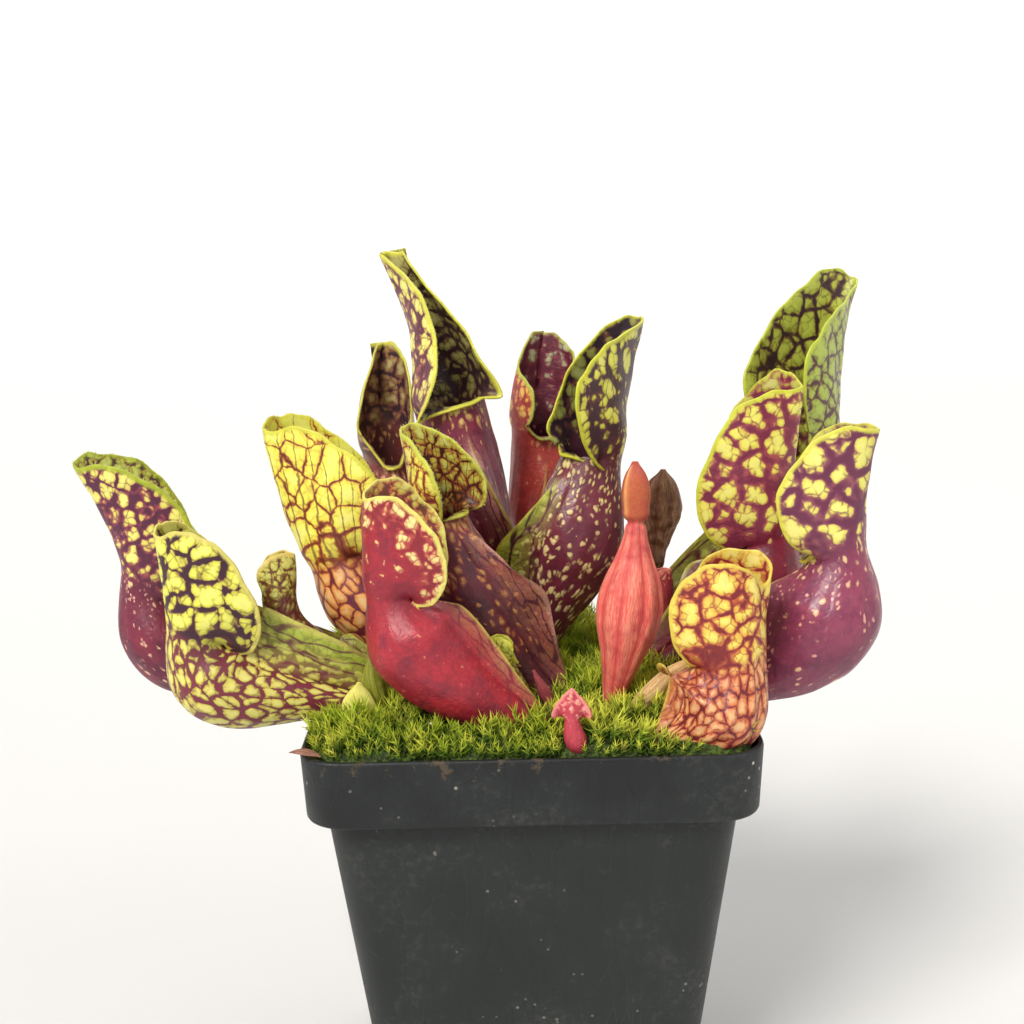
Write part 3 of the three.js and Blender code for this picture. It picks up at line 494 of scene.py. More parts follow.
# %% Wall of the tube, with its wing
def wall_points(leaf, u, theta, inset=0.0, winged=True):
    """Points of the wall at u along the axis and theta round it: 0 at the keel, pi at the front."""
    centre, _, side, front = axis_at(leaf, u)
    radius = girth_at(leaf, u) - inset
    depth = radius * leaf["deep"]
    across, forward = radius * np.sin(theta), -depth * np.cos(theta)
    if winged:
        rise = np.clip(1 - np.abs(np.abs(theta) - np.pi) / WING_ROOT, 0, 1)
        wing = wing_at(leaf, u)
        share = np.clip(wing / WING_FULL, 0, 1) * (rise > 0)
        neck = radius * math.sin(WING_ROOT) * (1 - rise) ** 2 + WING_HALF * (1 - rise**6)
        edge = depth * math.cos(WING_ROOT)
        across = across * (1 - share) + np.sign(np.sin(theta)) * neck * share
        forward = forward * (1 - share) + (edge + (wing + depth - edge) * rise) * share
        sway = leaf["sway"] * np.sin(u * 17 + leaf["belly"]) * share * rise**2
        across = across + sway * np.clip(wing / 8, 0, 1)
    return centre + side * across[..., None] + front * forward[..., None]


# %% [markdown]
# The hood is a sheet that is stretched between two lines: the throat's ring and
# the margin. A few stations give the margin of each lobe, from the keel to the
# corner of the mouth, and a bent line joins each point of the throat to its point
# of the margin, so the sheet leaves the tube smoothly and then cups forward.

# %% Hood and lip
def margin_at(leaf, theta):
    """The hood's margin at theta, from the middle of the throat: forward, up and outward, in mm."""
    lobes = []
    for lobe, other in ((leaf["left"], leaf["right"]), (leaf["right"], leaf["left"])):
        stations = np.vstack([np.array(other[1], float) * (1, 1, -1), np.array(lobe, float)])
        at = (1 + np.clip(np.abs(theta) / CORNER, 0, 1) * (len(lobe) - 1)) / len(lobe)
        lobes.append(np.array([through(stations[:, i], at) for i in range(3)]))
    return np.where(theta > 0, *lobes)


def hood_points(leaf, u, theta, throat, v):
    """Points of the hood at v, from 0 at the throat to 1 at its margin."""
    centre, rise, side, front = (part.reshape(3) for part in axis_at(leaf, np.array([1.0])))
    along = axis_at(leaf, u)[1]
    forward, up, outward = (part[:, None] for part in margin_at(leaf, theta))
    sign, round_ = np.sign(theta)[:, None], np.clip(np.abs(theta) / CORNER, 0, 1)[:, None]
    edge = centre + front * forward + rise * up + side * outward * sign
    lip = throat + leaf["lip"] * (along * math.cos(LIP_FAN) + front * math.sin(LIP_FAN))
    rolled = ease(np.abs(theta), CORNER, CORNER + ROLL)[:, None]
    edge = edge * (1 - rolled) + lip * rolled
    wave = np.sin(theta * 9 + leaf["belly"]) + 0.6 * np.sin(theta * 19 + leaf["throat"])
    edge = throat + (edge - throat) * (1 + leaf["ruffle"] * wave * v**3)[:, None]
    reach = np.linalg.norm(edge - throat, axis=1, keepdims=True)
    bend = throat + along * reach * leaf["stiff"] + side * sign * leaf["cheek"] * np.sin(np.pi * round_)
    return (1 - v) ** 2 * throat + 2 * v * (1 - v) * bend + v * v * edge


def round_angles(leaf):
    """The angles of the columns: even round the tube, and close together on the wing."""
    half = math.pi - WING_ROOT
    main = np.linspace(-half, half, leaf["columns"] - 2 * leaf["fold"] + 1)
    fold = math.pi - WING_ROOT * np.linspace(0, 1, leaf["fold"] + 1)[:-1]
    return np.concatenate([-fold, main, fold[::-1]])


# %% The way out of a skin, and its unevenness
def skin_normals(rows):
    """The way out of the skin at each of its points; the first and last columns are the same line."""
    up = np.gradient(rows, axis=0)
    around = np.roll(rows, -1, axis=1) - np.roll(rows, 1, axis=1)
    around[:, 0] = rows[:, 1] - rows[:, -2]
    around[:, -1] = around[:, 0]
    return unit(np.cross(around, up))


def uneven(points, scale, seed):
    """A slow noise at each point, from -1 to 1."""
    shift = Vector((seed, 0, 0))
    return np.array([[noise.noise(Vector(p) * scale + shift) for p in row] for row in points])


# %% One skin, outside and inside
def leaf_skin(leaf):
    """
    Rows of points from the foot, up the outside, over the margin and down the inside. With them come each
    row's climb, which is 0 at the foot, 1 at the throat and 2 at the margin, and each column's angle.
    """
    theta = round_angles(leaf)
    mouth = 1 - leaf["oblique"] * (1 - np.cos(theta)) / 2
    tube = [wall_points(leaf, k / leaf["tube"] * mouth, theta) for k in range(leaf["tube"] + 1)]
    hood = [hood_points(leaf, mouth, theta, tube[-1], k / leaf["hood"]) for k in range(1, leaf["hood"] + 1)]
    outside = np.array(tube + hood)
    normals = skin_normals(outside)
    centre = outside[:leaf["tube"]].mean(axis=1, keepdims=True)
    if np.sum(normals[:leaf["tube"]] * (outside[:leaf["tube"]] - centre)) < 0:
        normals = -normals
    height = np.linspace(0, 1, len(outside))[:, None]
    lumps = leaf["lumps"] * uneven(outside, 0.11, leaf["belly"] * 3)
    count = leaf["rib_count"]
    ribs = leaf["ribs"] * (np.cos(count * theta) + 0.5 * np.cos(2.3 * count * theta + height * 5))
    ribs = ribs * ease(height, 0.03, 0.25) * (1 - ease(height, 0.5, 0.72))
    outside = outside + normals * ((lumps + ribs) * ease(height, 0.1, 0.4))[..., None]
    thick = leaf["wall"] * np.linspace(1, 0.75, leaf["hood"])[:, None, None]
    inside = outside[leaf["tube"] + 1:] - normals[leaf["tube"] + 1:] * thick
    margin = (outside[-1] + inside[-1]) / 2
    out = unit(outside[-1] - outside[-2]) * leaf["wall"] * 0.3
    rim = [outside[-1] * 0.85 + margin * 0.15 + out * 0.8, margin + out,
           inside[-1] * 0.85 + margin * 0.15 + out * 0.8]
    down = np.linspace(1, 0.3, leaf["inner"] + 1)
    lining = [wall_points(leaf, k * mouth, theta, leaf["wall"], False) for k in down]
    foot = np.repeat(outside[0].mean(axis=0)[None], len(theta), axis=0)
    sole = np.repeat(lining[-1].mean(axis=0)[None], len(theta), axis=0)
    rows = np.array([foot, *outside, *rim, *inside[::-1], *lining, sole])
    steps = np.linspace(0, 1, leaf["hood"] + 1)[1:]
    climb = [[0], np.linspace(0, 1, leaf["tube"] + 1), 1 + steps, [2, 2, 2], 1 + steps[::-1], down, down[-1:]]
    return rows, np.concatenate(climb), theta


# %% [markdown]
# ## What the finish has to know
# Where a spot lies on the leaf decides its colour: veins run up the tube and fan
# out from the corners of the mouth, the islands between them grow towards the
# margin, and the wing and the margin have colours of their own. So the skin
# carries a UV map that follows the veins, in units of 100 mm, and layers that say
# how far a spot is washed with red, how far it is from the margin, and how much
# it belongs to the wing, the hood or the dark hub at the mouth's corner.

# %% The map that the veins follow
PACE = (2.6, 2.2, 1.8, 1.5, 1.2, 1.1, 1.0)


def vein_map(leaf, rows, climb, theta, outer):
    """
    Each point's place on the map, in units of 100 mm: round the leaf from its keel, and up it. PACE says how
    many times longer than wide the net's cells are, from the foot to the margin.
    """
    keel, fold, root = len(theta) // 2, leaf["fold"], math.pi - WING_ROOT
    mean = 0.55 * leaf["belly"] + 0.45 * leaf["throat"]
    arc = np.cumsum(np.linalg.norm(np.diff(rows, axis=1, prepend=rows[:, :1]), axis=2), axis=1)
    arc = arc - arc[:, keel:keel + 1]
    beyond = np.where(theta > 0, arc - arc[:, -fold - 1][:, None], arc - arc[:, fold][:, None])
    on_wing = np.abs(theta) > root + 1e-6
    even = np.where(on_wing, np.sign(theta) * root * mean + beyond, theta * mean)
    share = ease(climb, 0.9, 1.4)[:, None]
    around = even * (1 - share) + arc * share
    step = np.linalg.norm(np.diff(rows[:outer + 1], axis=0, prepend=rows[:1]), axis=2)
    pace = 1 / through(PACE, climb[:outer + 1] / 2)[:, None]
    own = ease(climb[:outer + 1], 0.95, 1.0)[:, None]
    up = np.cumsum((step.mean(axis=1, keepdims=True) * (1 - own) + step * own) * pace, axis=0)
    first, height = leaf["tube"] + 2, np.empty(rows.shape[:2])
    height[:outer + 1] = up
    for r in range(outer + 1, len(rows)):
        if climb[r] > 1:
            twin = first - 1 + round((climb[r] - 1) * leaf["hood"])
        else:
            twin = 1 + round(climb[r] * leaf["tube"])
        height[r] = up[twin]
    return around / 100, height / 100


# %% A grid of points as a mesh
def skin_mesh(rows, around, height, layers, inside_from):
    """A closed mesh over the rows, with the veins' map and the named layers; the second finish is inside."""
    tall, wide = rows.shape[:2]
    bm = bmesh.new()
    bmesh.ops.create_grid(bm, x_segments=wide - 1, y_segments=tall - 1, size=0.5)
    cell = [(round((v.co.y + 0.5) * (tall - 1)), round((v.co.x + 0.5) * (wide - 1))) for v in bm.verts]
    made = {name: bm.verts.layers.float.new(name) for name in layers}
    flow = bm.loops.layers.uv.new("flow")
    for v, (r, c) in zip(bm.verts, cell):
        v.co = Vector(rows[r, c]) * MM
        for name, layer in made.items():
            v[layer] = float(layers[name][r, c])
    spots = [(around[r, c], height[r, c]) for r, c in cell]
    for face in bm.faces:
        face.material_index = int(all(cell[v.index][0] >= inside_from for v in face.verts))
        for loop in face.loops:
            loop[flow].uv = spots[loop.vert.index]
    bmesh.ops.remove_doubles(bm, verts=bm.verts, dist=2e-6)
    bmesh.ops.recalc_face_normals(bm, faces=bm.faces)
    return bm


# %% A leaf's mesh and its layers
HUB_REACH, FAR_FROM_EDGE = 7.0, 30.0


def leaf_mesh(leaf):
    """The leaf's skin as a mesh, with the layers that its finish reads."""
    rows, climb, theta = leaf_skin(leaf)
    outer = leaf["tube"] + leaf["hood"] + 3
    around, height = vein_map(leaf, rows, climb, theta, outer)
    margin = np.linalg.norm(rows - rows[outer - 2], axis=2)
    flank = np.clip(1 - np.abs(np.abs(theta) - np.pi) / (WING_ROOT * 1.25), 0, 1)
    wing = ease(flank) * (np.clip(wing_at(leaf, climb) / WING_FULL, 0, 1) * (climb < 0.97))[:, None]
    wing[outer:] = 0
    throat = rows[leaf["tube"] + 1]
    hubs = [throat[np.argmin(np.abs(theta - way * CORNER * 0.86))] for way in (1, -1)]
    near = np.min([np.linalg.norm(rows - hub, axis=2) for hub in hubs], axis=0)
    flat = np.ones(rows.shape[:2])
    layers = {
        "wash": flat * through(leaf["wash"], climb / 2)[:, None],
        "edge": np.where(climb[:, None] > 0.9, margin, FAR_FROM_EDGE),
        "wing": wing,
        "hood": flat * ease(climb, 0.92, 1.12)[:, None],
        "hub": np.exp(-((near / HUB_REACH) ** 2)),
        "front": flat * np.abs(theta) / np.pi,
    }
    return skin_mesh(rows, around, height, layers, outer - 1)


# %% [markdown]
# ## Veins and islands
# The leaves of this plant are known for their net of dark veins. Between the
# veins lie pale islands, and inside each island finer veins end blindly. A net of
# cells gives all of that: its borders are the veins, and a distance from each
# cell's middle rounds the islands off. On a hood the net is drawn through the
# leaf's own space, so the islands stay round on every lobe and match inside and
# outside. On a tube and a wing it is drawn on the map that follows the leaf, so
# the islands are drawn out along it. Both wander by a noise, so that the veins
# aren't ruled lines. Painted maps would need pictures, and none are used.
# Where a leaf is washed with red, the veins swell until the islands are specks or
# gone, and the swollen ground takes the body's colour. A second, finer net
# scallops the islands and gives them veinlets that fade towards their middle.
#
# In a look, cell is the width of a cell in mm, tube_cell the share of it on the
# tube, and shift moves the net. Veins are thin on pale ground and thick on red,
# and red ground closes the islands by close, or by tube_close on the tube. The
# rest are strengths: scallop, stain, veinlets, specks, stripes, wash and gloss.
# rim is the width of the margin's band in mm.

# %% What a look holds
INKS = ("body", "blotch", "tube_island", "island", "vein", "soft", "margin", "wing")
LOOK = {
    "tube_vein": "6c2434", "wing_net": "4f1f24", "wing_rim": "c9c44a", "heart": "fbf6b8", "speck": "e8b8a0",
    "specks": 0.0, "cell": 5.2, "tube_cell": 0.62, "shift": 0.0, "thin": 0.05, "thick": 0.2, "close": 0.68,
    "tube_close": 0.72, "scallop": 0.3, "stain": 0.3, "veinlets": 0.85, "stripes": 0.0, "wash": 1.0,
    "gloss": 0.42, "rim": 1.0,
}
DRAWN_OUT, FINER = (1.0, 0.3, 1.0), 2.2


def look(inks, **rest):
    """A leaf's look: its colours, named by INKS, and what else sets it apart; in_ is for its inside only."""
    return {**dict(zip(INKS, inks.split())), **rest}


# %% Specks and stripes, which only some leaves have
def specked(f, k, tint, drawn, place, red, fuzz):
    """Pale specks, in clumps on the red ground."""
    scale = 480.0 / k["cell"]
    pick = f.add("TexVoronoi", {"Vector": drawn, "Scale": scale}, "Color", voronoi_dimensions="2D")
    chosen = f.add("SeparateColor", {"Color": pick}, "Red")
    chosen = f.step(chosen, 1.0 - k["specks"], 1.02 - k["specks"])
    spot = f.step(f.plus(f.cells(drawn, scale), f.times(fuzz, 0.35)), 0.36, 0.16)
    clump = f.times(f.step(f.grain(place, 95.0, 1.0), 0.45, 0.6), f.step(red, 0.3, 0.6))
    return f.mix(f.times(f.times(f.times(spot, chosen), clump), 0.9), tint, k["speck"])


def striped(f, k, tint, drawn, hood, hub, edge, fuzz):
    """Long veins side by side on the hood, wide at the hub and narrow at the margin."""
    across = f.add("SeparateXYZ", {"Vector": drawn}, "X")
    line = f.math("PINGPONG", f.times(across, 140.0 / k["cell"]), 0.5)
    wide = f.step(edge, 1.0, 26.0, 0.05, 0.13)
    line = f.plus(line, f.times(fuzz, 0.08))
    line = f.step(line, f.plus(wide, f.times(hub, 0.25)), f.times(wide, 0.35))
    return f.mix(f.times(f.times(line, k["stripes"]), hood), tint, k["vein"])


# %% Wing, hub and margin
def bordered(f, k, leaf, drawn, wing, front, hub, edge, patch, small, fuzz):
    """The wing with its drawn-out net, the dark hub at the mouth's corner, and the margin's pale band."""
    long = f.net(f.stretch(drawn, DRAWN_OUT), 100.0 / (k["cell"] * 0.6), 0.9)
    wing_line = f.math("MAXIMUM", f.step(long, 0.13, 0.03), f.times(f.step(small, 0.1, 0.02), 0.35))
    tint = f.mix(f.step(patch, 0.35, 0.7, 0.0, 0.2), k["wing"], f.mix(0.5, k["wing"], k["margin"]))
    tint = f.mix(wing_line, tint, k["wing_net"])
    tint = f.mix(f.times(f.step(front, 0.982, 0.996), 0.6), tint, k["wing_rim"])
    leaf = f.mix(wing, leaf, tint)
    leaf = f.mix(f.times(hub, 0.35), leaf, k["vein"])
    band = f.step(f.plus(edge, f.times(fuzz, 1.4)), k["rim"] + 0.5, k["rim"] * 0.4)
    return f.mix(f.times(band, 0.92), leaf, k["margin"])


# %% The finish of a leaf
def leaf_finish(name, own, inside=False):
    """Mixes the skin's finish from its look: the net, the islands in it, and the marks over both."""
    k = {**LOOK, **own}
    if inside:
        k.update({key[3:]: value for key, value in own.items() if key.startswith("in_")})
    k = {key: colour(value) if isinstance(value, str) else value for key, value in k.items()}
    f = Finish(name, Coat_Weight=0.15, Coat_Roughness=0.35, Specular_IOR_Level=0.45)
    place, flow = f.place(), f.add("UVMap", {}, 0, uv_map="flow")
    hood, wash, wing, hub, edge, front = map(f.layer, ("hood", "wash", "wing", "hub", "edge", "front"))
    slow, patch = f.grain(place, 55.0), f.grain(place, 160.0, 3.0, 0.6)
    quick = f.grain(place, 700.0, 3.0, 0.65)
    fuzz = f.minus(quick, 0.5)
    wash = f.times(wash, k["wash"])
    vary = f.plus(f.times(f.minus(slow, 0.5), 0.9), f.times(f.minus(patch, 0.5), 0.5))
    red = f.plus(wash, f.times(vary, f.step(wash, 0.0, 0.25)), clamp=True)

    # The two nets: one through space for the hood, and one on the leaf's map for the tube and the wing.
    seed = sum(ord(letter) for letter in name) % 97 / 10 + k["shift"]
    shift = (seed, seed / 2, 0)
    drawn = f.wander(f.wander(f.stretch(flow, (1, 1, 1), shift), 11.0, 0.045), 45.0, 0.014)
    solid = f.wander(f.stretch(place, (10, 10, 10), shift), 30.0, 0.02)
    on_hood, on_tube = 88.0 / k["cell"], 100.0 / (k["cell"] * k["tube_cell"])

    # The room of an island: how far a spot is inside it, by its borders, its middle and its scallops.
    width = f.plus(f.span(red, k["thin"], k["thick"]), f.times(hub, 0.16))
    width = f.times(width, f.step(edge, 0.0, 9.0, 0.45, 1.0))
    width = f.times(width, f.step(patch, 0.3, 0.7, 0.6, 1.45))
    border = f.blend(hood, f.net(drawn, on_tube, 0.95), f.net(solid, on_hood, 0.8, "3D"))
    border = f.plus(border, f.times(fuzz, 0.06))
    shut = f.times(red, f.blend(hood, k["tube_close"], k["close"]))
    shut = f.times(shut, f.step(edge, 0.0, 12.0, 0.55, 1.0))
    middle = f.math("MINIMUM", f.minus(f.cells(solid, on_hood, 0.8, "3D"), 0.45), 0.34)
    middle = f.minus(f.minus(0.76, shut), f.blend(hood, f.cells(drawn, on_tube, 0.95), middle))
    room = f.add("Math", {0: f.minus(border, width), 1: middle, 2: 0.1}, operation="SMOOTH_MIN")
    lobes = f.cells(solid, on_hood * FINER, 1.0, "3D")
    room = f.minus(room, f.times(f.minus(lobes, 0.44), k["scallop"]))
    island = f.step(room, 0.0, 0.05)
    small = f.net(solid, on_hood * FINER, 1.0, "3D")
    veinlet = f.step(f.plus(small, f.times(fuzz, 0.12)), f.plus(f.times(red, 0.1), 0.12), 0.0)
    veinlet = f.times(f.times(veinlet, f.step(room, 0.3, 0.04)), k["veinlets"])

    # The ground: dark veins with softer flanks, and the body's colour where the wash is strong.
    dark = f.mix(hood, k["tube_vein"], k["vein"])
    ground = f.mix(f.step(room, f.times(width, -1.0), 0.02), dark, k["soft"])
    body = f.mix(f.times(f.step(patch, 0.4, 0.7), 0.75), k["body"], k["blotch"])
    body = f.mix(f.times(f.step(slow, 0.35, 0.65), 0.4), body, k["blotch"])
    deep = f.mix(0.6, k["blotch"], (0.01, 0.002, 0.006, 1))
    coarse, faint = f.times(f.step(border, 0.12, 0.0), 0.24), f.times(f.step(small, 0.2, 0.0), 0.14)
    lines = f.math("MAXIMUM", coarse, faint)
    ground = f.mix(f.step(red, 0.4, 0.8), ground, f.mix(lines, body, deep))

    # The islands: stained along their borders, pale in the middle, with veinlets.
    pale = f.mix(hood, k["tube_island"], k["island"])
    pale = f.mix(f.step(patch, 0.35, 0.75, 0.0, 0.25), pale, f.mix(0.4, pale, k["margin"]))
    pale = f.mix(f.times(f.step(room, 0.2, 0.03), k["stain"]), pale, k["soft"])
    pale = f.mix(f.step(room, 0.05, 0.4, 0.0, 0.3), pale, k["heart"])
    leaf = f.mix(island, ground, pale)
    leaf = f.mix(f.times(veinlet, island), leaf, f.mix(0.5, dark, k["soft"]))

    # Marks over both, and a fine shade over all.
    if k["specks"]:
        leaf = specked(f, k, leaf, drawn, place, red, fuzz)
    if k["stripes"]:
        leaf = striped(f, k, leaf, drawn, hood, hub, edge, fuzz)
    leaf = bordered(f, k, leaf, drawn, wing, front, hub, edge, patch, small, fuzz)
    leaf = f.shade(leaf, f.plus(f.times(patch, 0.5), f.times(quick, 0.5)), 0.7, 1.4, 0.6)
    f.paint(Base_Color=leaf, Roughness=f.step(slow, 0.25, 0.75, k["gloss"] - 0.07, k["gloss"] + 0.1))
    relief = f.plus(f.times(f.step(room, -0.05, 0.25), 0.55), f.times(quick, 0.22))
    f.bump(f.minus(relief, f.times(veinlet, 0.2)), 0.0005)
    return f.material


# %% [markdown]
# ## The thirteen open pitchers
# No two leaves of the clump are alike: the ripe ones are wine red up to the hood,
# the young ones yellow or nearly green with a dark net. One table holds each
# leaf's measures, and another its look.

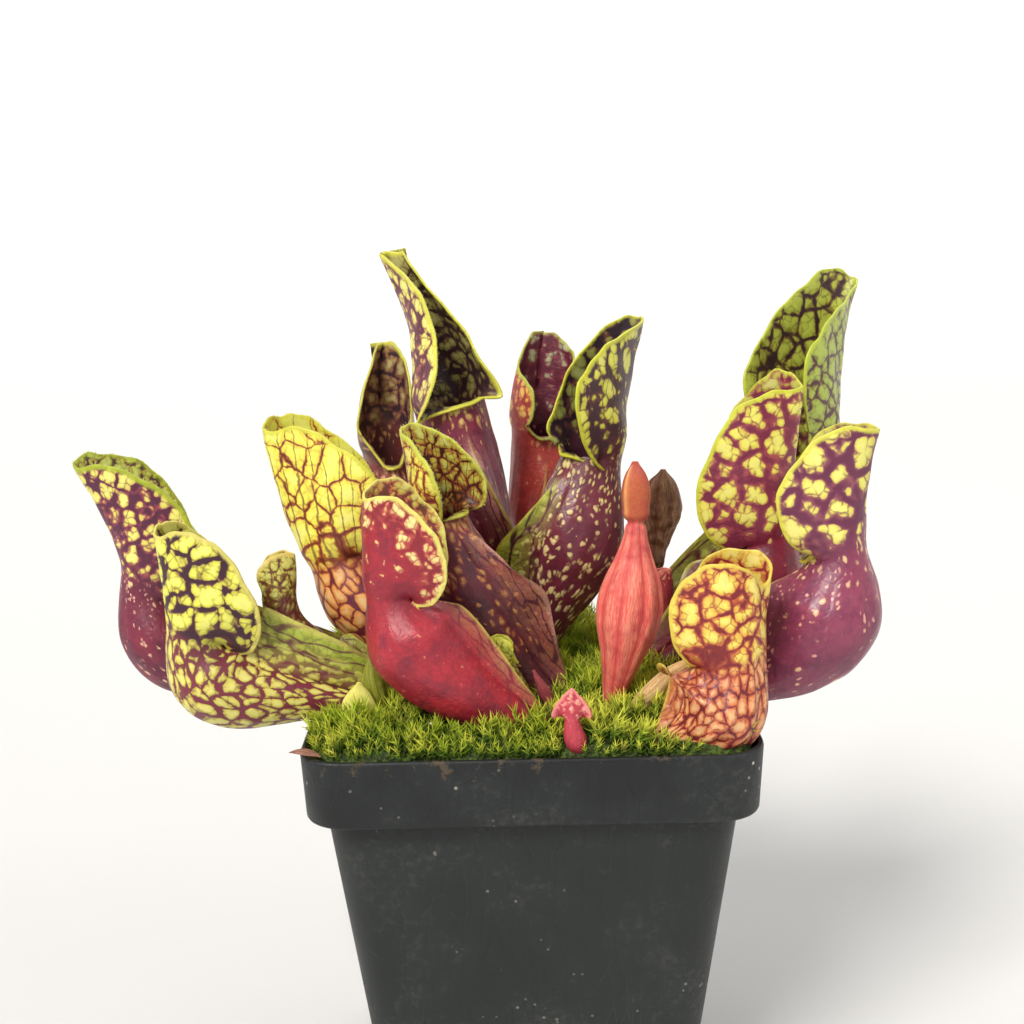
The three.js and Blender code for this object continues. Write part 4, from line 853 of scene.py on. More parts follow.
# %% Measures of the open pitchers
PITCHERS = {
    "front_red_pitcher": {
        "base": (12, -43), "mouth": (-39, -45, 174), "start": 14, "lean": 8, "lean_to": 180, "facing": -2,
        "belly": 13, "belly_at": 0.7, "throat": 6.4, "swell": 0.9, "wing": 5, "oblique": 0.08,
        "pull": (0.42, 0.24), "wash": (1, 1, 1, 1, 0.95, 0.75, 0.3),
        "left": [(-2.7, 26.4, 0), (1.1, 29.7, 7), (8.1, 27.5, 9), (13.4, 20.1, 10), (17.1, 12, 9),
                 (15.5, 1, 7), (7, -4, 5)],
        "right": [(-2.7, 26.4, 0), (4.9, 27, 7), (12.3, 21.6, 9), (16.9, 13, 10), (17.8, 3.8, 9),
                  (12.2, -4.8, 7), (5.1, -4.7, 5)],
    },
    "front_left_pitcher": {
        "base": (-34, -27), "mouth": (-97, -32, 162), "start": 26, "lean": -4, "lean_to": 180, "facing": 8,
        "belly": 12, "belly_at": 0.72, "throat": 7.6, "wing": 15, "wing_full": 0.45, "oblique": 0.1,
        "pull": (0.5, 0.45), "wash": (0.8, 0.45, 0.2, 0.25, 0.1, 0.03, 0),
        "left": [(-11.1, 24.8, 0), (-10.4, 27.5, 4), (-6.3, 27.5, 7), (2, 23, 9), (11, 11, 9.5), (13, -2, 7),
                 (9, -7, 5)],
        "right": [(-11.1, 24.8, 0), (-4.4, 27.3, 6), (3.8, 26.3, 9), (12, 18.5, 10), (18.6, 5.5, 10),
                  (17.6, -6.7, 7), (10.9, -8.6, 5)],
    },
    "far_left_pitcher": {
        "base": (-36, -6), "mouth": (-116, -6, 172), "start": 22, "lean": -6, "lean_to": 180, "facing": 6,
        "belly": 12, "belly_at": 0.76, "throat": 7.2, "wing": 13, "wing_full": 0.5, "oblique": 0.1,
        "pull": (0.5, 0.5), "stiff": 0.2, "wash": (1, 0.9, 0.85, 0.8, 0.45, 0.25, 0.12),
        "left": [(-22.6, 29.6, 0), (-18.9, 32.7, 6), (-11.2, 32.1, 9), (-1.9, 29.3, 10), (5.6, 22.1, 10),
                 (13, 9, 9), (14, -1, 7), (8, -4, 5)],
        "right": [(-22.6, 29.6, 0), (-12, 31.3, 6), (0.5, 28.3, 9), (10.9, 19.8, 10), (17.9, 9.1, 10),
                  (16.5, -1.9, 7), (8.2, -4, 5)],
    },
    "yellow_hood_pitcher": {
        "base": (-16, -6), "mouth": (-59, -8, 177), "start": 30, "lean": 30, "lean_to": 180, "facing": -4,
        "belly": 12.3, "belly_at": 0.72, "throat": 8.2, "wing": 8, "oblique": 0.1, "pull": (0.4, 0.3),
        "wash": (0.9, 0.6, 0.4, 0.35, 0.08, 0, 0),
        "left": [(1.9, 41.1, 0), (5.3, 42.5, 6), (10.5, 39.6, 9), (15.7, 32.1, 10), (20.2, 20.7, 9),
                 (20.5, 7, 8), (15, -5, 7), (8, -7, 5)],
        "right": [(1.9, 41.1, 0), (13.2, 36.3, 6), (21.2, 26.4, 9), (25.3, 13.1, 10), (23.7, 0.1, 9),
                  (15.9, -8.6, 7), (7.4, -7.5, 5)],
    },
    "striped_mouth_pitcher": {
        "base": (16, -24), "mouth": (-26, -20, 191), "start": 25, "lean": 14, "lean_to": 180, "facing": -40,
        "belly": 12, "throat": 7.6, "wing": 11, "oblique": 0.04, "pull": (0.4, 0.3),
        "wash": (1, 0.8, 0.65, 0.4, 0.15, 0.05, 0),
        "left": [(-6, 24.9, 0), (-1.4, 25, 4), (4.6, 19.8, 7), (9.9, 12.6, 9), (12.1, 3.5, 10),
                 (9.2, -2.5, 9), (4.1, -2.4, 7)],
        "right": [(-6, 24.9, 0), (0.8, 21.4, 4), (6.8, 17.6, 7), (10.5, 12.9, 9), (11.2, 7.5, 9),
                  (9.3, 1.8, 8), (4.9, -2.6, 6)],
    },
    "tall_left_pitcher": {
        "base": (-6, 18), "mouth": (-23, 14, 217), "start": 55, "lean": 12, "lean_to": 180, "facing": -70,
        "belly": 15, "belly_at": 0.66, "throat": 11, "wing": 8, "oblique": 0,
        "wash": (1, 0.9, 0.85, 0.8, 0.3, 0.12, 0.05),
        "left": [(-9, 49.5, -8), (-6, 49.3, -1.9), (-3, 43.9, 0.4), (2, 33.9, 3.6), (7, 21.4, 8.8),
                 (10, 13.6, 10.1), (12, 0, 14), (11, 0.4, 7.4)],
        "right": [(-9, 49.5, 8), (-2, 45, 5.5), (6, 36.1, 2.9), (12, 23.2, 3.1), (15, 11.8, 6.3),
                  (15, 4.7, 11.1), (13, -0.7, 15), (11, -1.2, 12)],
    },
    "back_left_pitcher": {
        "base": (-22, 30), "mouth": (-46, 41, 206), "start": 55, "lean": 6, "lean_to": 170, "facing": -80,
        "belly": 11, "throat": 8, "wing": 7, "wash": (1, 0.9, 0.8, 0.6, 0.3, 0.15, 0.05),
        "left": [(-8, 27.5, 4.7), (-4, 26, 8), (0, 22, 10), (4, 15, 10.5), (7, 7, 10), (8, 2, 9),
                 (8, -1, 8)],
        "right": [(-8, 27.5, -4.7), (-4, 25.6, -0.9), (0, 20.9, 1.8), (4, 13.8, 5.4), (7, 6.6, 7.9),
                  (8, 2.5, 9.1), (8, -0.8, 8.2)],
    },
    "back_centre_pitcher": {
        "base": (2, 38), "mouth": (6, 42, 207), "start": 75, "lean": 2, "facing": -80, "belly": 11.5,
        "throat": 9.8, "wing": 5, "oblique": 0.05, "wash": (1, 1, 0.95, 0.9, 0.5, 0.25, 0.1),
        "left": [(-10, 28.9, 3.8), (-8, 26.8, 8), (-5, 23.4, 11.1), (-1, 19.4, 11.6), (3, 13.8, 11.5),
                 (7, 9.3, 8.9), (9, 5.3, 7), (10, 2, 5)],
        "right": [(-10, 28.9, -3.8), (-8, 28.6, 1.2), (-6, 24.8, 5), (0, 17.7, 8.1), (7, 14.1, 6.4),
                  (11, 9.9, 5.2), (12, 3.6, 5.6), (11, -0.1, 7.4)],
    },
    "centre_right_pitcher": {
        "base": (-2, 5), "mouth": (21, 0, 204), "start": 62, "lean": 14, "lean_to": 20, "facing": -140,
        "belly": 14, "belly_at": 0.68, "throat": 9, "wing": 12, "oblique": 0.03,
        "wash": (0.4, 0.5, 0.7, 0.85, 0.5, 0.22, 0.05),
        "left": [(-9.6, 41.2, 0), (4.6, 35.9, 6), (14.4, 29.4, 9), (21.1, 22.7, 11), (22.5, 14.4, 12),
                 (16.6, 4.2, 11), (7.1, -2.9, 10), (-1, -5, 8)],
        "right": [(-9.6, 41.2, 0), (-7.2, 42.3, 5), (-0.7, 35.8, 8), (6.5, 25.8, 10), (8, 17.6, 11),
                  (9.5, 8.8, 11), (11.2, 2.8, 10), (6.6, -0.6, 8)],
    },
    "tall_right_pitcher": {
        "base": (22, 22), "mouth": (93, 29, 201), "start": 32, "lean": 2, "lean_to": 0, "facing": -135,
        "belly": 13, "throat": 8.5, "wing": 9, "oblique": 0.05, "wash": (0.8, 0.5, 0.4, 0.3, 0.12, 0.04, 0),
        "left": [(-21.7, 50.3, 0), (-11.9, 46.3, 4), (0.9, 40.8, 7), (11.8, 35, 9), (16.9, 28.8, 9),
                 (18.2, 17, 9), (14.1, 7.1, 8), (8.1, 1, 7)],
        "right": [(-21.7, 50.3, 0), (-19.3, 53.6, 5), (-8.9, 52, 8), (1.1, 45, 10), (10.7, 35.7, 12),
                  (19.5, 24.8, 12), (22, 14, 11), (15, 4, 8)],
    },
    "right_middle_pitcher": {
        "base": (26, 2), "mouth": (75, 0, 180), "start": 20, "lean": -4, "lean_to": 0, "facing": 168,
        "belly": 14, "belly_at": 0.68, "throat": 7.2, "wing": 9, "oblique": 0.1,
        "wash": (1, 0.95, 0.95, 0.95, 0.5, 0.25, 0.05),
        "left": [(-12.3, 40.8, 0), (-3.2, 41.8, 6), (7.8, 36.3, 9), (15.5, 25.9, 11), (20.6, 10.8, 11),
                 (18.8, -0.7, 9), (11.2, -6.8, 6), (6.8, -2.8, 5)],
        "right": [(-12.3, 40.8, 0), (-8.4, 45.9, 6), (-2.2, 44.7, 9), (5.8, 38.7, 11), (13, 27, 11),
                  (16, 12, 9), (13, 1, 7), (8, -4, 5)],
    },
    "right_purple_pitcher": {
        "base": (36, -22), "mouth": (91, -27, 183), "start": 14, "lean": -4, "lean_to": 0, "facing": 166,
        "belly": 15, "belly_at": 0.7, "throat": 6.8, "wing": 6, "oblique": 0.1, "pull": (0.5, 0.45),
        "wash": (0.9, 0.85, 0.9, 0.8, 0.34, 0.18, 0.05),
        "left": [(-11.9, 29.2, 0), (-4.1, 31.8, 6), (6.8, 27.4, 9), (14, 19.2, 11), (17, 10.4, 11),
                 (14.8, 0.4, 9), (9.3, -4.7, 6), (5, -1.8, 5)],
        "right": [(-11.9, 29.2, 0), (-7.1, 30.7, 6), (1.2, 29.5, 9), (9, 24, 10), (13, 14, 10), (12.5, 3, 9),
                  (9, -3, 6), (5, -2, 5)],
    },
    "front_right_pitcher": {
        "base": (31, -54), "mouth": (56, -50, 155), "start": 16, "lean": 0, "facing": 172, "belly": 13.2,
        "belly_at": 0.58, "throat": 9.2, "wing": 7, "ribs": 0.4, "oblique": 0.1, "pull": (0.5, 0.5),
        "wash": (0.5, 0.35, 0.3, 0.3, 0.12, 0.04, 0),
        "left": [(-8.5, 18.4, 0), (-4.2, 25.2, 6), (3.1, 26.6, 8), (11, 24.3, 9), (16.1, 16.2, 9),
                 (16, 4.2, 7), (11, -2.6, 5), (7.8, -0.5, 4)],
        "right": [(-8.5, 18.4, 0), (-11.5, 23, 4), (-7, 27, 7), (2, 27, 9), (9, 22, 9), (13, 13, 9),
                  (13, 3, 7), (9, -2, 4)],
    },
}

print("open pitchers:", len(PITCHERS))

# %% Colours of the open pitchers
LOOKS = {
    "front_red_pitcher": look(
        "bc2c3a 742234 d58a6a f4dc8c 8a2430 b84c44 e6dc70 b0684c",
        wing_net="7c2c3a", cell=4.2, thick=0.3, close=0.7, stain=0.5, in_vein="6c3a2c",
        in_island="c8bc4a", in_body="7c4a34", in_thick=0.12,
    ),
    "front_left_pitcher": look(
        "9c3044 5e2036 ddd056 ecea50 3c1c2a 6e3a38 dccf6a 9cae34",
        tube_vein="7c2c3c", wing_net="5d3a2c", wing_rim="dccf6a", cell=6.2, tube_cell=0.5, thin=0.04,
        thick=0.12, close=0.42, tube_close=0.42, veinlets=0.6, wash=0.55, in_close=0.3,
        in_island="c8cc44", in_wash=0.3,
    ),
    "far_left_pitcher": look(
        "8c2c42 561e38 ecc4a4 ece468 55203a 9c4450 a8b428 7c8440",
        wing_net="52243a", speck="e8b49c", specks=0.3, cell=5.0, thin=0.08, thick=0.18, close=0.5,
        rim=1.3, in_island="b4c03c", in_vein="4c4430", in_thin=0.03, in_wash=0.1, in_cell=3.4,
    ),
    "yellow_hood_pitcher": look(
        "9c3830 6c2828 e8a058 fbf45c 6c2a20 c06a30 d4d244 c08a4a",
        wing_net="6c2a2c", cell=7.4, tube_cell=0.45, thin=0.015, thick=0.12, close=0.4, tube_close=0.45,
        scallop=0.03, stain=0.15, veinlets=0.3, stripes=0.75, in_island="d8d848", in_wash=0.3,
    ),
    "striped_mouth_pitcher": look(
        "6a2c34 45202a b07c44 ece254 7c2c22 b05c34 ccd04c 9c5248",
        wing_net="4c1c28", wing_rim="c0907c", cell=4.4, close=0.5, scallop=0.15, in_vein="3a2018",
        in_island="bcb844", in_stripes=0.85, in_thin=0.04,
    ),
    "tall_left_pitcher": look(
        "94304a 551e34 e0b468 eeea70 5c2434 9c4c4c dcd84c b8787a",
        wing_net="6a2230", speck="d8907c", specks=0.12, cell=5.4, thin=0.07, thick=0.15, close=0.45,
        scallop=0.2, rim=1.6, in_vein="3c242c", in_soft="5c3c3c", in_island="b0a458", in_body="6c4c4c",
        in_blotch="4c3440", in_stripes=0.4, in_wash=0.7,
    ),
    "back_left_pitcher": look(
        "b04c40 7c302e dc9a68 c9a070 5c3436 8a5648 d0cc48 a87858",
        thin=0.08, rim=1.4, in_island="96784c", in_vein="3c2830", in_body="5c4440",
    ),
    "back_centre_pitcher": look(
        "cc5048 9c3838 e08868 ecb84c 9a3030 c05c40 b4b848 b0503c",
        cell=4.6, thin=0.1, in_vein="5c1c30", in_soft="7c3440", in_island="9c9a7c", in_body="74243a",
        in_blotch="4c1826", in_thick=0.3, in_thin=0.2,
    ),
    "centre_right_pitcher": look(
        "7c303e 582434 dcc088 eeec50 40202c 6c3c38 d4d434 a2ac3c",
        wing_net="3c1c20", speck="e4d080", specks=0.6, cell=7.2, tube_cell=0.38, shift=1.3, thin=0.08,
        thick=0.15, close=0.4, scallop=0.4, in_vein="2c1c28", in_island="8c9440", in_body="3c2430",
    ),
    "tall_right_pitcher": look(
        "6c3434 4c2428 b0ae4a a8bc44 4a2428 7c6034 bcc83c 8a9440",
        cell=5.6, thin=0.05, scallop=0.15, stain=0.2, veinlets=0.6, heart="d0d868", in_vein="38202a",
        in_wash=0.4, in_island="b8c24c", in_cell=6.6, in_thin=0.06,
    ),
    "right_middle_pitcher": look(
        "8c2438 5a1c2c d8a07c eee85c 7c2c44 a85054 d4d840 6c3038",
        cell=6.4, thin=0.1, thick=0.2, close=0.54, veinlets=0.9, in_island="b8b444",
    ),
    "right_purple_pitcher": look(
        "9c4660 6c2c4a ecc094 f0e868 6a2c48 94505c dcd850 6c2a3c",
        speck="e8a894", specks=0.2, cell=7.2, tube_cell=0.5, shift=2.9, thin=0.09, thick=0.14, close=0.3,
        veinlets=0.9, gloss=0.36, in_island="b8b054",
    ),
    "front_right_pitcher": look(
        "b44a38 7c2c34 e08c5c f4dc58 7c2428 c4603c e4cc50 c0703c",
        tube_vein="6c2028", wing_net="8a302c", cell=5.6, tube_cell=0.5, thin=0.05, thick=0.15, close=0.4,
        tube_close=0.4, scallop=0.15, stain=0.45, wash=0.5, in_island="d8c048", in_wash=0.4,
    ),
}


def grow(name, measures, own, usual=USUAL):
    """One leaf from its measures, with a finish for its outside and one for its inside."""
    skins = [leaf_finish(name + "_outside", own), leaf_finish(name + "_inside", own, inside=True)]
    mesh = leaf_mesh({**usual, **measures})
    return stand_in(name.replace("_pitcher", "_leaf"), mesh, skins, [name])


leaves = [grow(name, measures, LOOKS[name]) for name, measures in PITCHERS.items()]

# %% [markdown]
# ## Young pitchers
# A young pitcher is the same leaf, thinner and shorter, with a hood of two plain
# ears. The same skin makes it from fewer rows, so all leaves of the clump share
# one build. EAR gives the margin of such an ear, in shares of the hood's height.
# The shortest ones are still pink or green, and nearly free of veins.

# %% Measures of the young pitchers
YOUNG = {
    **USUAL, "root": 1.6, "lip": 0.8, "wall": 0.8, "cheek": 0.5, "lumps": 0.2, "ribs": 0.05,
    "wash": (1, 0.8, 0.5, 0.4, 0.25, 0.1, 0), "columns": 56, "fold": 4, "tube": 40, "hood": 18, "inner": 12,
}
EAR = np.array([(-0.35, 1, 0), (0.05, 1.02, 0.22), (0.42, 0.82, 0.36), (0.64, 0.5, 0.42), (0.66, 0.18, 0.4),
                (0.52, -0.06, 0.34)])
YOUNG_PITCHERS = {
    "green_young_pitcher": {
        "base": (-25, -17), "mouth": (-73, -21, 169), "start": 34, "lean": 8, "lean_to": 0, "facing": 180,
        "belly": 6, "throat": 4.4, "wing": 4, "tall": 10,
    },
    "green_sprout": {
        "base": (5, -33), "mouth": (-8, -33.5, 150), "start": 50, "lean": 20, "lean_to": 180, "facing": 0,
        "belly": 2.8, "throat": 2.4, "wing": 1, "root": 1.2, "tall": 6,
    },
    "small_red_pitcher": {
        "base": (37, 15), "mouth": (43, 8, 156), "start": 70, "lean": 0, "facing": 180, "belly": 4,
        "throat": 3.2, "wing": 1, "root": 1.2, "tall": 8, "wash": (1, 1, 1, 0.95, 0.8, 0.7, 0.4),
    },
    "front_red_sprout": {
        "base": (14, -58), "mouth": (11, -61, 141), "start": 60, "lean": 0, "facing": 85, "belly": 3.0,
        "belly_at": 0.4, "throat": 2.1, "wing": 1, "root": 2.2, "tall": 8,
        "wash": (1, 1, 1, 0.9, 0.8, 0.5, 0.15),
        "ear": [(-0.12, 1, 0), (-0.1, 0.76, 0.26), (-0.1, 0.5, 0.46), (-0.15, 0.22, 0.6), (-0.1, -0.06, 0.62),
                (0.25, -0.05, 0.36)],
    },
}

# %% Colours of the young pitchers, and growing them
YOUNG_LOOKS = {
    "green_young_pitcher": look(
        "7c6034 5c3c2c a8a048 ccc858 6c3c2c 8c6c34 e8d070 98a040",
        cell=3.4, thin=0.04, stain=0.2,
    ),
    "green_sprout": look(
        "8c9430 7c7c2c b4bc3c ccd044 7c7c30 a0a038 dcdc50 a4ac38",
        cell=2.4, thin=0.02, veinlets=0.3,
    ),
    "small_red_pitcher": look(
        "c0484c 8c2c34 dc8468 e09070 8c2830 c0504c d87868 a84040",
        cell=2.4, thin=0.05,
    ),
    "front_red_sprout": look(
        "d44a58 a83444 ec8c78 f4a898 b83c4c dc6c68 ec8c84 b84048",
        cell=2.4, thin=0.05, rim=0.6, in_body="e47c78", in_blotch="c85060",
    ),
}
for name, measures in YOUNG_PITCHERS.items():
    ear = np.array(measures.get("ear", EAR)) * measures["tall"]
    leaves.append(grow(name, {**measures, "left": ear, "right": ear}, YOUNG_LOOKS[name], YOUNG))

# %% [markdown]
# ## Buds and dried leaves
# A pitcher that hasn't opened is a closed, ribbed spindle with its hood folded on
# top like a cap. Dried leaves are flat brown straps that curl and crumple. All are
# one oval section that is swept up a bent axis, with a girth for each height, so
# one function makes them; ribs, a curl and a crumple set them apart.

# %% Shape of a bud
BUD = {
    "rows": 60, "columns": 48, "up": (0, 1, 0), "bow": (0, 0, 0), "cap": 2.0, "ribs": 0.0, "curl": 0.0,
    "crumple": 0.15, "crumple_scale": 0.25,
}
RIB_COUNT, RIDGE_AT, RIDGE = 9, -0.85, 0.45


def bell(x, width):
    return np.exp(-((x / width) ** 2))


def bud_mesh(bud):
    """An oval section swept up a bent axis. A cap below 1 says where the folded hood begins."""
    base, top = np.array(bud["base"], float), np.array(bud["top"], float)
    middle = (base + top) / 2 + 2 * np.array(bud["bow"], float)
    u = np.linspace(0, 1, bud["rows"])[:, None]
    centre = (1 - u) ** 2 * base + 2 * u * (1 - u) * middle + u * u * top
    along = unit((1 - u) * (middle - base) + u * (top - middle))
    across = unit(np.cross(bud["up"], along))
    thick = np.cross(across, along)
    theta = np.linspace(-np.pi, np.pi, bud["columns"] + 1)
    cap = bud["cap"]
    ribs = bud["ribs"] * (np.cos(RIB_COUNT * theta) + 0.4 * np.cos(17 * theta + 4 * u))
    ridge = bell(theta - RIDGE_AT, 0.2) * ease(u, cap, cap + 0.04) * (u < 0.985)
    groove = 1 - 0.3 * bell(u - cap, 0.01) + 0.12 * bell(u - cap - 0.03, 0.018)
    radius = through(bud["radii"], u) * (1 + ribs * np.sin(np.pi * u) * (u < cap)) * groove + RIDGE * ridge
    curl = bud["curl"] * radius * np.sin(theta) ** 2
    rows = centre[:, None] + across[:, None] * (radius * np.sin(theta))[..., None]
    rows = rows + thick[:, None] * (radius * bud["flat"] * np.cos(theta) - curl)[..., None]
    crumple = bud["crumple"] * uneven(rows, bud["crumple_scale"], 7.0)
    rows = rows + thick[:, None] * (crumple * np.sin(np.pi * u))[..., None]
    ends = [np.repeat(row.mean(axis=0)[None, None], len(theta), axis=1) for row in (rows[0], rows[-1])]
    rows = np.concatenate([ends[0], rows, ends[1]])
    u = np.concatenate([[[0]], u, [[1]]])
    flat = np.ones(rows.shape[:2])
    layers = {
        "tall": flat * u,
        "cap": flat * ease(u, cap, cap + 0.02),
        "ridge": np.concatenate([ridge[:1], ridge, ridge[-1:]]),
        "rib": flat * (0.5 + 0.5 * np.cos(RIB_COUNT * theta)),
    }
    around, height = theta * max(bud["radii"]) / 100, u * np.linalg.norm(top - base) / 100
    return skin_mesh(rows, flat * around, flat * height, layers, len(rows) + 1)


# %% Finish of buds and dried leaves
def shoot_finish(name, inks, fibre, rough):
    """The inks are the skin, its streaks, its blotches, the cap and the cap's rim. The streaks' ink also
    paints highlight on the rib crests, and the blotches' ink paints shade in the rib grooves.
    """
    skin, streak, blotch, cap, rim = map(colour, inks.split())
    f = Finish(name, Coat_Weight=0.1 if rough < 0.6 else 0.0, Coat_Roughness=0.4, Specular_IOR_Level=0.4)
    place, flow = f.place(), f.add("UVMap", {}, 0, uv_map="flow")
    tall, top, ridge, rib = map(f.layer, ("tall", "cap", "ridge", "rib"))
    bent = f.wander(flow, 14.0, 0.012)
    long = f.grain(f.stretch(bent, (1.0, 0.07, 1.0)), 300.0, 4.0, 0.6)
    patch, quick = f.grain(place, 150.0, 4.0, 0.6), f.grain(place, 700.0, 3.0, 0.65)
    # The streaks lean towards the rib crests: the lighter crests are painted highlight.
    tint = f.mix(f.step(f.plus(long, f.times(rib, 0.12)), 0.5, 0.68), skin, streak)
    net = f.step(f.net(f.stretch(bent, (1.0, 0.4, 1.0)), 230.0), 0.1, 0.0)
    # The dark in the rib grooves is painted shade, mixed in with the blotches' ink.
    groove_shade, foot = f.step(rib, 0.14, 0.0), f.step(tall, 0.25, 0.0)
    blots_and_groove_shade = ((f.step(patch, 0.45, 0.72), 0.7), (net, fibre), (groove_shade, 0.5), (foot, 0.6))
    for spread, strength in blots_and_groove_shade:
        tint = f.mix(f.times(spread, strength), tint, blotch)
    crown = f.mix(f.step(patch, 0.35, 0.65), cap, f.mix(0.5, cap, blotch))
    crown = f.mix(f.times(f.step(f.net(bent, 50.0), 0.12, 0.02), 0.6), crown, blotch)
    tint = f.mix(f.times(ridge, 0.9), f.mix(top, tint, crown), rim)
    tint = f.shade(tint, quick, 0.6, 1.3, 0.5)
    f.paint(Base_Color=tint, Roughness=f.step(patch, 0.25, 0.75, rough - 0.06, rough + 0.1))
    f.bump(f.plus(f.times(long, 0.8), f.times(quick, 0.25)), 0.0006)
    return f.material


# %% Measures and colours of the buds and dried leaves
BUDS = {
    "unopened_pitcher": {
        "base": (22, -34, CROWN), "top": (31, -32, 206), "bow": (3, 0, 0), "flat": 0.85, "rows": 110,
        "radii": (1.6, 2.3, 3, 3.8, 4.6, 5.6, 6.6, 7.8, 8.8, 9.3, 9.3, 8.7, 7.6, 6.1, 4.7, 3.6, 3.0, 3.5, 4.1,
                  4.0, 3.0, 0.9),
        "ribs": 0.035, "cap": 0.775, "columns": 84,
        "finish": ("f0685f f99a80 c43c46 c4683c f0a868", 0.14, 0.36),
    },
    "yellow_bud": {
        "base": (-50, -40, CROWN), "top": (-49, -40, 145), "flat": 0.45, "ribs": 0.02,
        "radii": (1, 1.8, 4.2, 4.8, 3.2, 0.6), "finish": ("fbf58c f4ec70 e4d860 fbf58c fbf58c", 0.1, 0.42),
    },
    "green_curled_bud": {
        "base": (-41, -36, CROWN), "top": (-46, -36, 151), "bow": (-1, 0, 0), "flat": 0.6, "ribs": 0.05,
        "radii": (1, 2, 3, 3.4, 2.6, 0.8), "curl": 0.4,
        "finish": ("8c9030 a8ac3c 5c4c18 a0a038 c0bc48", 0.4, 0.42),
    },
    "red_bud": {
        "base": (9, -35, CROWN), "top": (1, -35.5, 146), "flat": 0.8, "ribs": 0.04,
        "radii": (0.8, 1.2, 1.5, 1.9, 1.2, 0.4), "finish": ("a84850 c0605c 6c2430 a84850 c0605c", 0.3, 0.42),
    },
    "orange_bud": {
        "base": (27, 8, CROWN), "top": (25, 4, 147), "bow": (2, 0, 0), "flat": 0.7, "ribs": 0.04,
        "radii": (0.9, 1.2, 1.4, 1.8, 3.4, 2.8, 0.6),
        "finish": ("a83c2c c8603c 6c2420 b04830 d87848", 0.3, 0.42),
    },
    "dried_sheath": {
        "base": (12, 28, CROWN), "top": (9, 27.5, 150), "bow": (-1, 0, 0), "flat": 0.22,
        "radii": (2, 4, 5, 5, 4, 2), "curl": 0.5, "crumple": 1.0, "crumple_scale": 0.3,
        "finish": ("7c6448 a08a68 3c2820 7c6448 a08a68", 0.5, 0.75),
    },
    "dried_hood": {
        "base": (34, 32, CROWN), "top": (46, 36, 191), "bow": (3, 0, 0), "flat": 0.28, "rows": 90,
        "radii": (1.6, 1.8, 2, 2.2, 2.4, 2.6, 2.8, 3, 3.2, 4.4, 6, 7, 6.2, 4.4, 0.8), "curl": 0.9,
        "crumple": 3.0, "crumple_scale": 0.36, "ribs": 0.16,
        "finish": ("94684c bc9470 5c3434 a07850 c8a070", 0.5, 0.7),
    },
    "dried_strip": {
        "base": (25, -42, CROWN), "top": (47, -39, 149), "bow": (0, 0, 2), "flat": 0.25,
        "radii": (1.6, 2.6, 3, 2.6, 1.2), "curl": 0.4, "crumple": 0.5,
        "finish": ("dcb070 f0d098 8c5838 dcb070 f0d098", 0.4, 0.65),
    },
    "leaf_scrap": {
        "base": (-67, -58.5, 131.2), "top": (-58, -62.5, 131.3), "bow": (-0.25, -0.25, 0.925), "flat": 0.28,
        "up": (0, 0, 1), "radii": (0.5, 1.6, 2.1, 1.6, 0.5), "crumple": 0.12,
        "finish": ("9c6c58 c09078 5c3830 9c6c58 c09078", 0.5, 0.75),
    },
}

# %% Growing the buds and dried leaves
for name, bud in BUDS.items():
    skin = shoot_finish(name + "_skin", *bud["finish"])
    leaves.append(stand_in(name + "_form", bud_mesh({**BUD, **bud}), [skin], [name]))

# %% [markdown]
# ## Bristles along the hoods
# Short stiff hairs stand along the margin of some hoods and catch the light. Each
# is a thin cone of three sides, set on the rim that the leaf's skin gives.

# %% Bristles
BRISTLY = ("yellow_hood_pitcher", "far_left_pitcher", "back_left_pitcher", "striped_mouth_pitcher",
           "tall_left_pitcher")
ON_EACH, HAIR = 170, 0.09 * MM


def bristles(names, seed):
    dice = np.random.default_rng(seed)
    bm = bmesh.new()
    for name in names:
        rows, _, theta = leaf_skin({**USUAL, **PITCHERS[name]})
        outer = USUAL["tube"] + USUAL["hood"] + 3
        rim, out = rows[outer], unit(rows[outer] - rows[outer - 3])
        for _ in range(ON_EACH):
            at = dice.uniform(USUAL["fold"] + 8, len(theta) - USUAL["fold"] - 9)
            i, t = int(at), at % 1
            way = unit(out[i] * (1 - t) + out[i + 1] * t + dice.normal(0, 0.35, 3))
            spot, size = rim[i] * (1 - t) + rim[i + 1] * t, dice.uniform(0.6, 1.3)
            turn = Vector(way).to_track_quat("Z", "Y").to_matrix().to_4x4()
            place = Matrix.Translation(Vector(spot + way * (size / 2 - 0.1)) * MM) @ turn
            bmesh.ops.create_cone(bm, cap_ends=True, segments=3, radius1=HAIR, radius2=0.0, depth=size * MM,
                                  matrix=place)
    return bm


hair = Finish("hood_hair", Roughness=0.5)
hair.paint(Base_Color=hair.mix(hair.grain(hair.place(), 400.0), colour("dcd87c"), colour("f0eca8")))
stand_in("hood_bristles", bristles(BRISTLY, 5), [hair.material], [])

# %% [markdown]
# ## Rhizome and potting mix
# Both are hidden by the moss, but a repotted plant shows them, so their solids
# keep their shape and get a finish: bark-like brown with scars, and dark peat with
# lighter fibres and grains.

# %% Finishes of the hidden solids
def earthy(name, inks, scale, depth):
    """The inks are the dark of the cracks, the surface, and its scars or fibres."""
    dark, mid, pale = map(colour, inks.split())
    f = Finish(name, Roughness=0.9, Specular_IOR_Level=0.2)
    place = f.place()
    lump, crumb = f.grain(place, scale, 6.0, 0.7), f.grain(place, scale * 5, 4.0, 0.7)
    fibre = f.grain(f.wander(f.stretch(place, (1, 1, 0.15)), 60.0, 0.01), scale * 4)
    tint = f.mix(f.step(lump, 0.35, 0.65), dark, mid)
    tint = f.mix(f.times(f.step(fibre, 0.58, 0.7), 0.7), tint, pale)
    f.paint(Base_Color=f.mix(f.times(f.step(crumb, 0.4, 0.7), 0.4), tint, dark))
    f.bump(f.plus(lump, f.times(crumb, 0.5)), depth, 0.8)
    return f.material


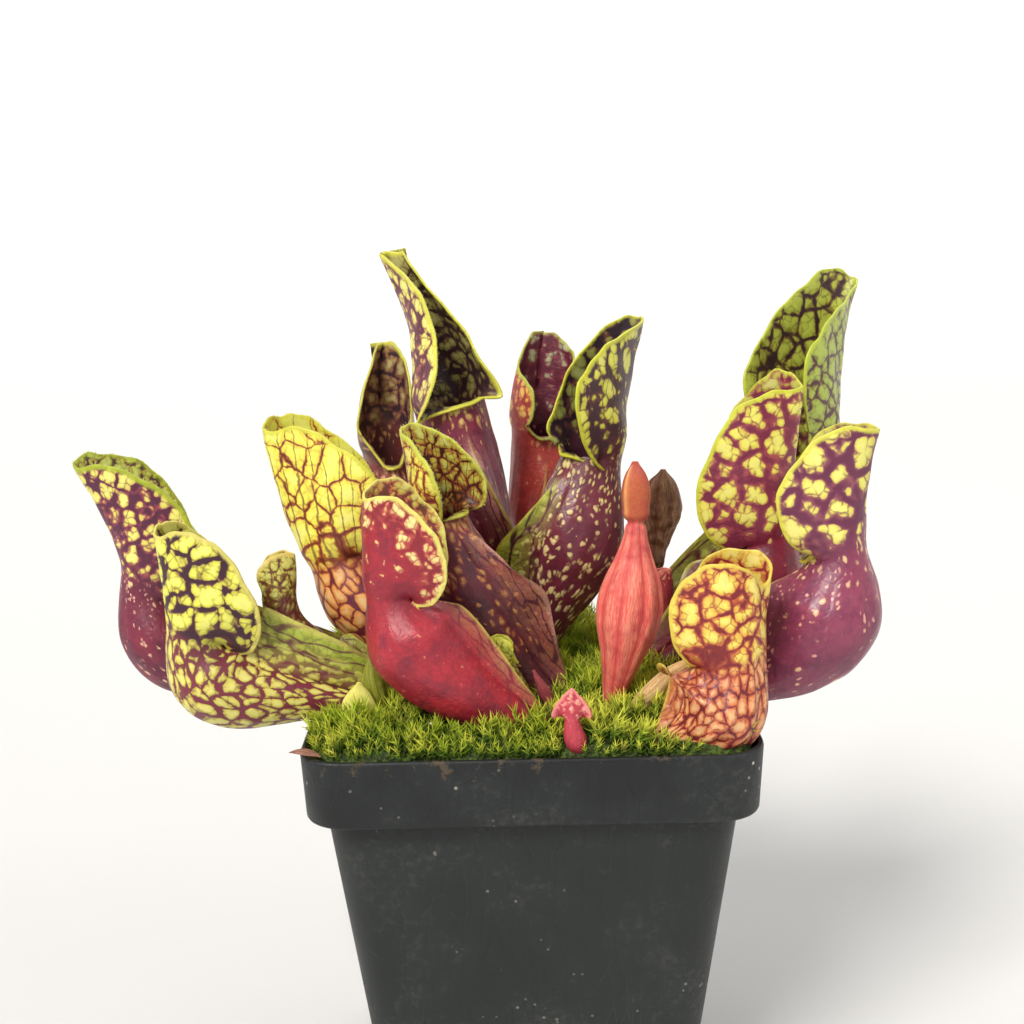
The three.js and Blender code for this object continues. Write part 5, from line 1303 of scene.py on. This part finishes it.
bark = earthy("rhizome_bark", "3a1c14 6c3424 9c5c3c", 120.0, 0.0008)
peat = earthy("peat_and_bark", "1c120c 3c2a1c 8c6c4c", 140.0, 0.0015)
for node, finish in (("rhizome", bark), ("potting_mix", peat)):
    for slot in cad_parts[node].material_slots:
        slot.material = finish
    print(node, "finished with", finish.name)

# %% [markdown]
# ## Live moss
# The moss is a cushion of thousands of upright shoots, each a little star of
# pointed leaves, yellow-green at the tip and darker green below, with painted
# shade that turns the foot near black. The cushion itself is a
# closed mound that shows between the shoots. A few kinds of shoot are made from
# thin cones, and copies of them are turned, leaned and scaled over the mound. A
# ray up from each foot finds a leaf that lies over it, and the shoot stays under.

# %% Height and outline of the moss
MOSS = {"half": 61.9, "corner": 10.4, "rim_height": 131.8, "crown": 134.8, "heave": 1.3, "foot": 117.2}
POT_HALF, FALL_FROM, FALL_WIDTH, FALL = 65, 57, 5, 3.0


def moss_height(x, y):
    """The height of the moss at a place, before its lumps."""
    edge = max(abs(x), abs(y)) / POT_HALF
    mound = MOSS["crown"] + (MOSS["rim_height"] - MOSS["crown"]) * edge**3
    return mound + MOSS["heave"] * math.sin(x * 0.21 + 1) * math.cos(y * 0.17 + 0.6)


def into_round(x, y):
    """Draws a point of a square in, so that the square gets the pot's round corners."""
    half, corner = MOSS["half"], MOSS["corner"]
    big, small = max(abs(x), abs(y)), min(abs(x), abs(y))
    if big < 1e-6 or small / big * half <= half - corner:
        return x, y
    way = Vector((1.0, small / big)).normalized()
    core = Vector((half - corner, half - corner))
    reach = way.dot(core) + math.sqrt(max(corner**2 - (core.length_squared - way.dot(core) ** 2), 0))
    share = reach / (half / way.x)
    return x * share, y * share


# %% The mound
def moss_mound():
    """The cushion: a lumpy top with a fallen edge, and a skirt down into the pot."""
    bm = bmesh.new()
    bmesh.ops.create_grid(bm, x_segments=110, y_segments=110, size=MOSS["half"])
    edge = [e for e in bm.edges if e.is_boundary]
    for v in bm.verts:
        v.co.x, v.co.y = into_round(v.co.x, v.co.y)
        lumps = 1.1 * noise.noise(v.co * 0.16) + 0.7 * noise.noise(v.co * 0.5)
        fall = max(0.0, max(abs(v.co.x), abs(v.co.y)) - FALL_FROM) / FALL_WIDTH
        v.co.z = moss_height(v.co.x, v.co.y) - 0.7 + lumps - FALL * fall**2
    skirt = bmesh.ops.extrude_edge_only(bm, edges=edge)["geom"]
    for v in (g for g in skirt if isinstance(g, bmesh.types.BMVert)):
        v.co.z = MOSS["foot"]
    bmesh.ops.contextual_create(bm, geom=[g for g in skirt if isinstance(g, bmesh.types.BMEdge)])
    bmesh.ops.recalc_face_normals(bm, faces=bm.faces)
    bmesh.ops.scale(bm, vec=(MM, MM, MM), verts=bm.verts)
    return bm


# %% The moss's finish
def moss_finish(name, shoots):
    """Green, and fresher towards the tips, for the shoots, with painted shade near black at their feet; dark
    and matted for the cushion under them.
    """
    f = Finish(name, Roughness=0.62, Specular_IOR_Level=0.3)
    place = f.place()
    fine = f.grain(place, 900.0, 2.0)
    if shoots:
        tip = f.layer("tip")
        fresh = f.mix(f.step(f.grain(place, 45.0), 0.38, 0.62), colour("b4c430"), colour("f0ee54"))
        green = f.mix(f.step(fine, 0.35, 0.65), colour("3e5e16"), colour("6e8e24"))
        # Near black at each shoot's foot is painted shade among the shoots.
        tint = f.mix(f.step(tip, 0.0, 0.35), colour("1c280c"), green)
        tint = f.mix(f.step(tip, 0.3, 0.95), tint, fresh)
        old = f.step(f.grain(place, 210.0, 2.0), 0.62, 0.7)
        tint = f.mix(f.times(old, 0.55), tint, colour("a08c4c"))
    else:
        tint = f.mix(f.step(fine, 0.4, 0.7), colour("28340f"), colour("566c20"))
        f.bump(fine, 0.001, 0.9)
    f.paint(Base_Color=tint)
    return f.material


stand_in("moss_bed", moss_mound(), [moss_finish("moss_cushion", False)], ["moss_carpet"])

# %% Kinds of shoot
KINDS, NEEDLES, SPIRAL = 8, 12, 2.4


def needle(bm, place, length, width):
    place = place @ Matrix.Translation((0, 0, length / 2))
    bmesh.ops.create_cone(bm, cap_ends=True, segments=3, radius1=width, radius2=0.0, depth=length,
                          matrix=place)


def moss_shoot(seed):
    """A star of a dozen pointed leaves round a short stem, in metres, with how near its tip each point is."""
    dice = np.random.default_rng(seed)
    bm = bmesh.new()
    tall = dice.uniform(4.2, 6.4)
    needle(bm, Matrix.Identity(4), tall * MM, 0.32 * MM)
    for k in range(NEEDLES):
        level = 0.2 + 0.68 * k / (NEEDLES - 1)
        lean = math.radians(dice.uniform(30, 62) * (1.1 - 0.55 * level))
        turn = Matrix.Rotation(k * SPIRAL + dice.uniform(-0.3, 0.3), 4, "Z") @ Matrix.Rotation(lean, 4, "Y")
        place = Matrix.Translation((0, 0, tall * level * MM)) @ turn
        needle(bm, place, dice.uniform(2.2, 3.6) * MM, 0.24 * MM)
    tip = bm.verts.layers.float.new("tip")
    top = max(v.co.z for v in bm.verts)
    for v in bm.verts:
        v[tip] = min(max(v.co.z / top, 0.0), 1.0)
    mesh = bpy.data.meshes.new("shoot")
    bm.to_mesh(mesh)
    bm.free()
    return mesh


kinds = [moss_shoot(seed) for seed in range(KINDS)]
print("a shoot has", len(kinds[0].polygons), "faces")

# %% Room among the leaves
SPACING, EDGE, AT_RIM, RIM_HEIGHT = 1.9, 62, 300, 128.6
UP, DOWN = Vector((0, 0, 1)), Vector((0, 0, -1))
LOOK_UP, LOOK_DOWN, NEAR, AIR, TALLEST = 0.012, 0.006, 0.0024, 0.0006, 0.0078


def leaves_tree():
    """All leaves as one tree of faces, which rays can be sent into."""
    whole = bmesh.new()
    for piece in leaves:
        whole.from_mesh(piece.data)
    tree = BVHTree.FromBMesh(whole)
    whole.free()
    return tree


def quarter_of(x, y):
    return (x > 0) + 2 * (y > 0)


# %% Sowing the mound
def sow_mound(dice, tree):
    """Shoots all over the mound: each one's foot, turn, lean, size, quarter and kind."""
    places, count = [], int(2 * MOSS["half"] / SPACING)
    for i in range(count):
        for j in range(count):
            x, y = (-MOSS["half"] + (n + 0.5 + dice.uniform(-0.45, 0.45)) * SPACING for n in (i, j))
            x, y = into_round(x * 0.985, y * 0.985)
            foot = Vector((x, y, moss_height(x, y) - 1.2)) * MM
            size = 0.95 + 0.75 * noise.noise(Vector((x, y, 0)) * 0.09) + dice.uniform(-0.25, 0.35)
            over, under = tree.ray_cast(foot, UP, LOOK_UP), tree.ray_cast(foot, DOWN, LOOK_DOWN)
            if over[0] is not None:
                size = min(size, (over[3] - AIR) / TALLEST)
            inside = (over[0] is not None and over[1].z > 0) or (under[0] is not None and under[1].z < 0)
            if size < 0.35 or inside:
                continue
            near = tree.find_nearest(foot + UP * 0.003, NEAR)[0]
            size = size * 0.6 if near is not None else size
            out = Vector((x, y, 0)) / EDGE * 0.45 * max(0.0, max(abs(x), abs(y)) / EDGE - 0.8) * 5
            lean = Vector((dice.normal(0, 0.24), dice.normal(0, 0.24), 0)) + out
            if near is not None:
                lean = Vector(((foot - near).x, (foot - near).y, 0)).normalized() * 0.5
            turn = dice.uniform(0, 2 * math.pi)
            places.append((foot, turn, lean, size, quarter_of(x, y), int(dice.integers(KINDS))))
    return places


# %% Sowing the rim
def sow_rim(dice, tree):
    """A row of shoots that lean out along the pot's rim, where no leaf lies over it."""
    places = []
    for k in range(AT_RIM):
        turn = k / AT_RIM * 2 * math.pi
        way = Vector((math.cos(turn), math.sin(turn), 0))
        x, y = into_round(*(way.xy * MOSS["half"] * 0.985 / max(abs(way.x), abs(way.y))))
        foot = Vector((x, y, RIM_HEIGHT + dice.uniform(-0.4, 0.6))) * MM
        if tree.ray_cast(foot, UP, 0.009)[0] is None:
            lean = way * dice.uniform(0.1, 0.45) + Vector((dice.normal(0, 0.2), dice.normal(0, 0.2), 0))
            turn, size = dice.uniform(0, 6.3), dice.uniform(0.7, 1.1)
            places.append((foot, turn, lean, size, quarter_of(x, y), k % KINDS))
    return places


# %% Planting the shoots
def plant(places, quarter):
    """One quarter of the cushion: copies of the kinds of shoot at their places, joined."""
    bm = bmesh.new()
    for foot, turn, lean, size, part, kind in places:
        if part != quarter:
            continue
        up = (UP + lean).to_track_quat("Z", "Y").to_matrix().to_4x4()
        copy = kinds[kind].copy()
        copy.transform(Matrix.Translation(foot) @ up @ Matrix.Rotation(turn, 4, "Z") @ Matrix.Scale(size, 4))
        bm.from_mesh(copy)
        bpy.data.meshes.remove(copy)
    return bm


dice, tree = np.random.default_rng(11), leaves_tree()
places = sow_mound(dice, tree) + sow_rim(dice, tree)
green = moss_finish("moss_shoots_green", True)
for quarter in range(4):
    stand_in("moss_shoots_%d" % (quarter + 1), plant(places, quarter), [green], [], smooth=False)
for kind in kinds:
    bpy.data.meshes.remove(kind)
print("shoots:", len(places))

# %% [markdown]
# Bits of bark, dead needles and white grains of perlite lie on any pot that has
# stood outside for a while.

# %% Litter on the moss
def litter(seed, count, sizes, squash):
    """Small lumps of a range of sizes, squashed to flakes or grains and strewn over the moss."""
    dice = np.random.default_rng(seed)
    bm = bmesh.new()
    for _ in range(count):
        x, y = dice.uniform(-58, 58, 2)
        size = dice.uniform(*sizes)
        place = Matrix.Translation(Vector((x, y, moss_height(x, y) + 2.6)) * MM)
        place = place @ Matrix.Rotation(dice.uniform(0, 6.3), 4, "Z")
        place = place @ Matrix.Rotation(dice.uniform(-0.5, 0.5), 4, "X")
        place = place @ Matrix.Diagonal((*(Vector(squash) * size * MM), 1))
        bmesh.ops.create_icosphere(bm, subdivisions=1, radius=1.0, matrix=place)
    return bm


flakes = earthy("litter_bark", "4c2c1c 8c5c3c c09870", 300.0, 0.0003)
stand_in("bark_litter", litter(3, 46, (0.5, 1.5), (1.6, 0.5, 0.25)), [flakes], [],
         smooth=False)
grains = Finish("perlite_grains", Roughness=0.95)
grains.paint(Base_Color=grains.mix(grains.grain(grains.place(), 900.0), colour("c8c2b4"), colour("eeeae0")))
stand_in("perlite_litter", litter(8, 14, (0.35, 0.7), (1, 1, 0.8)), [grains.material], [],
         smooth=False)
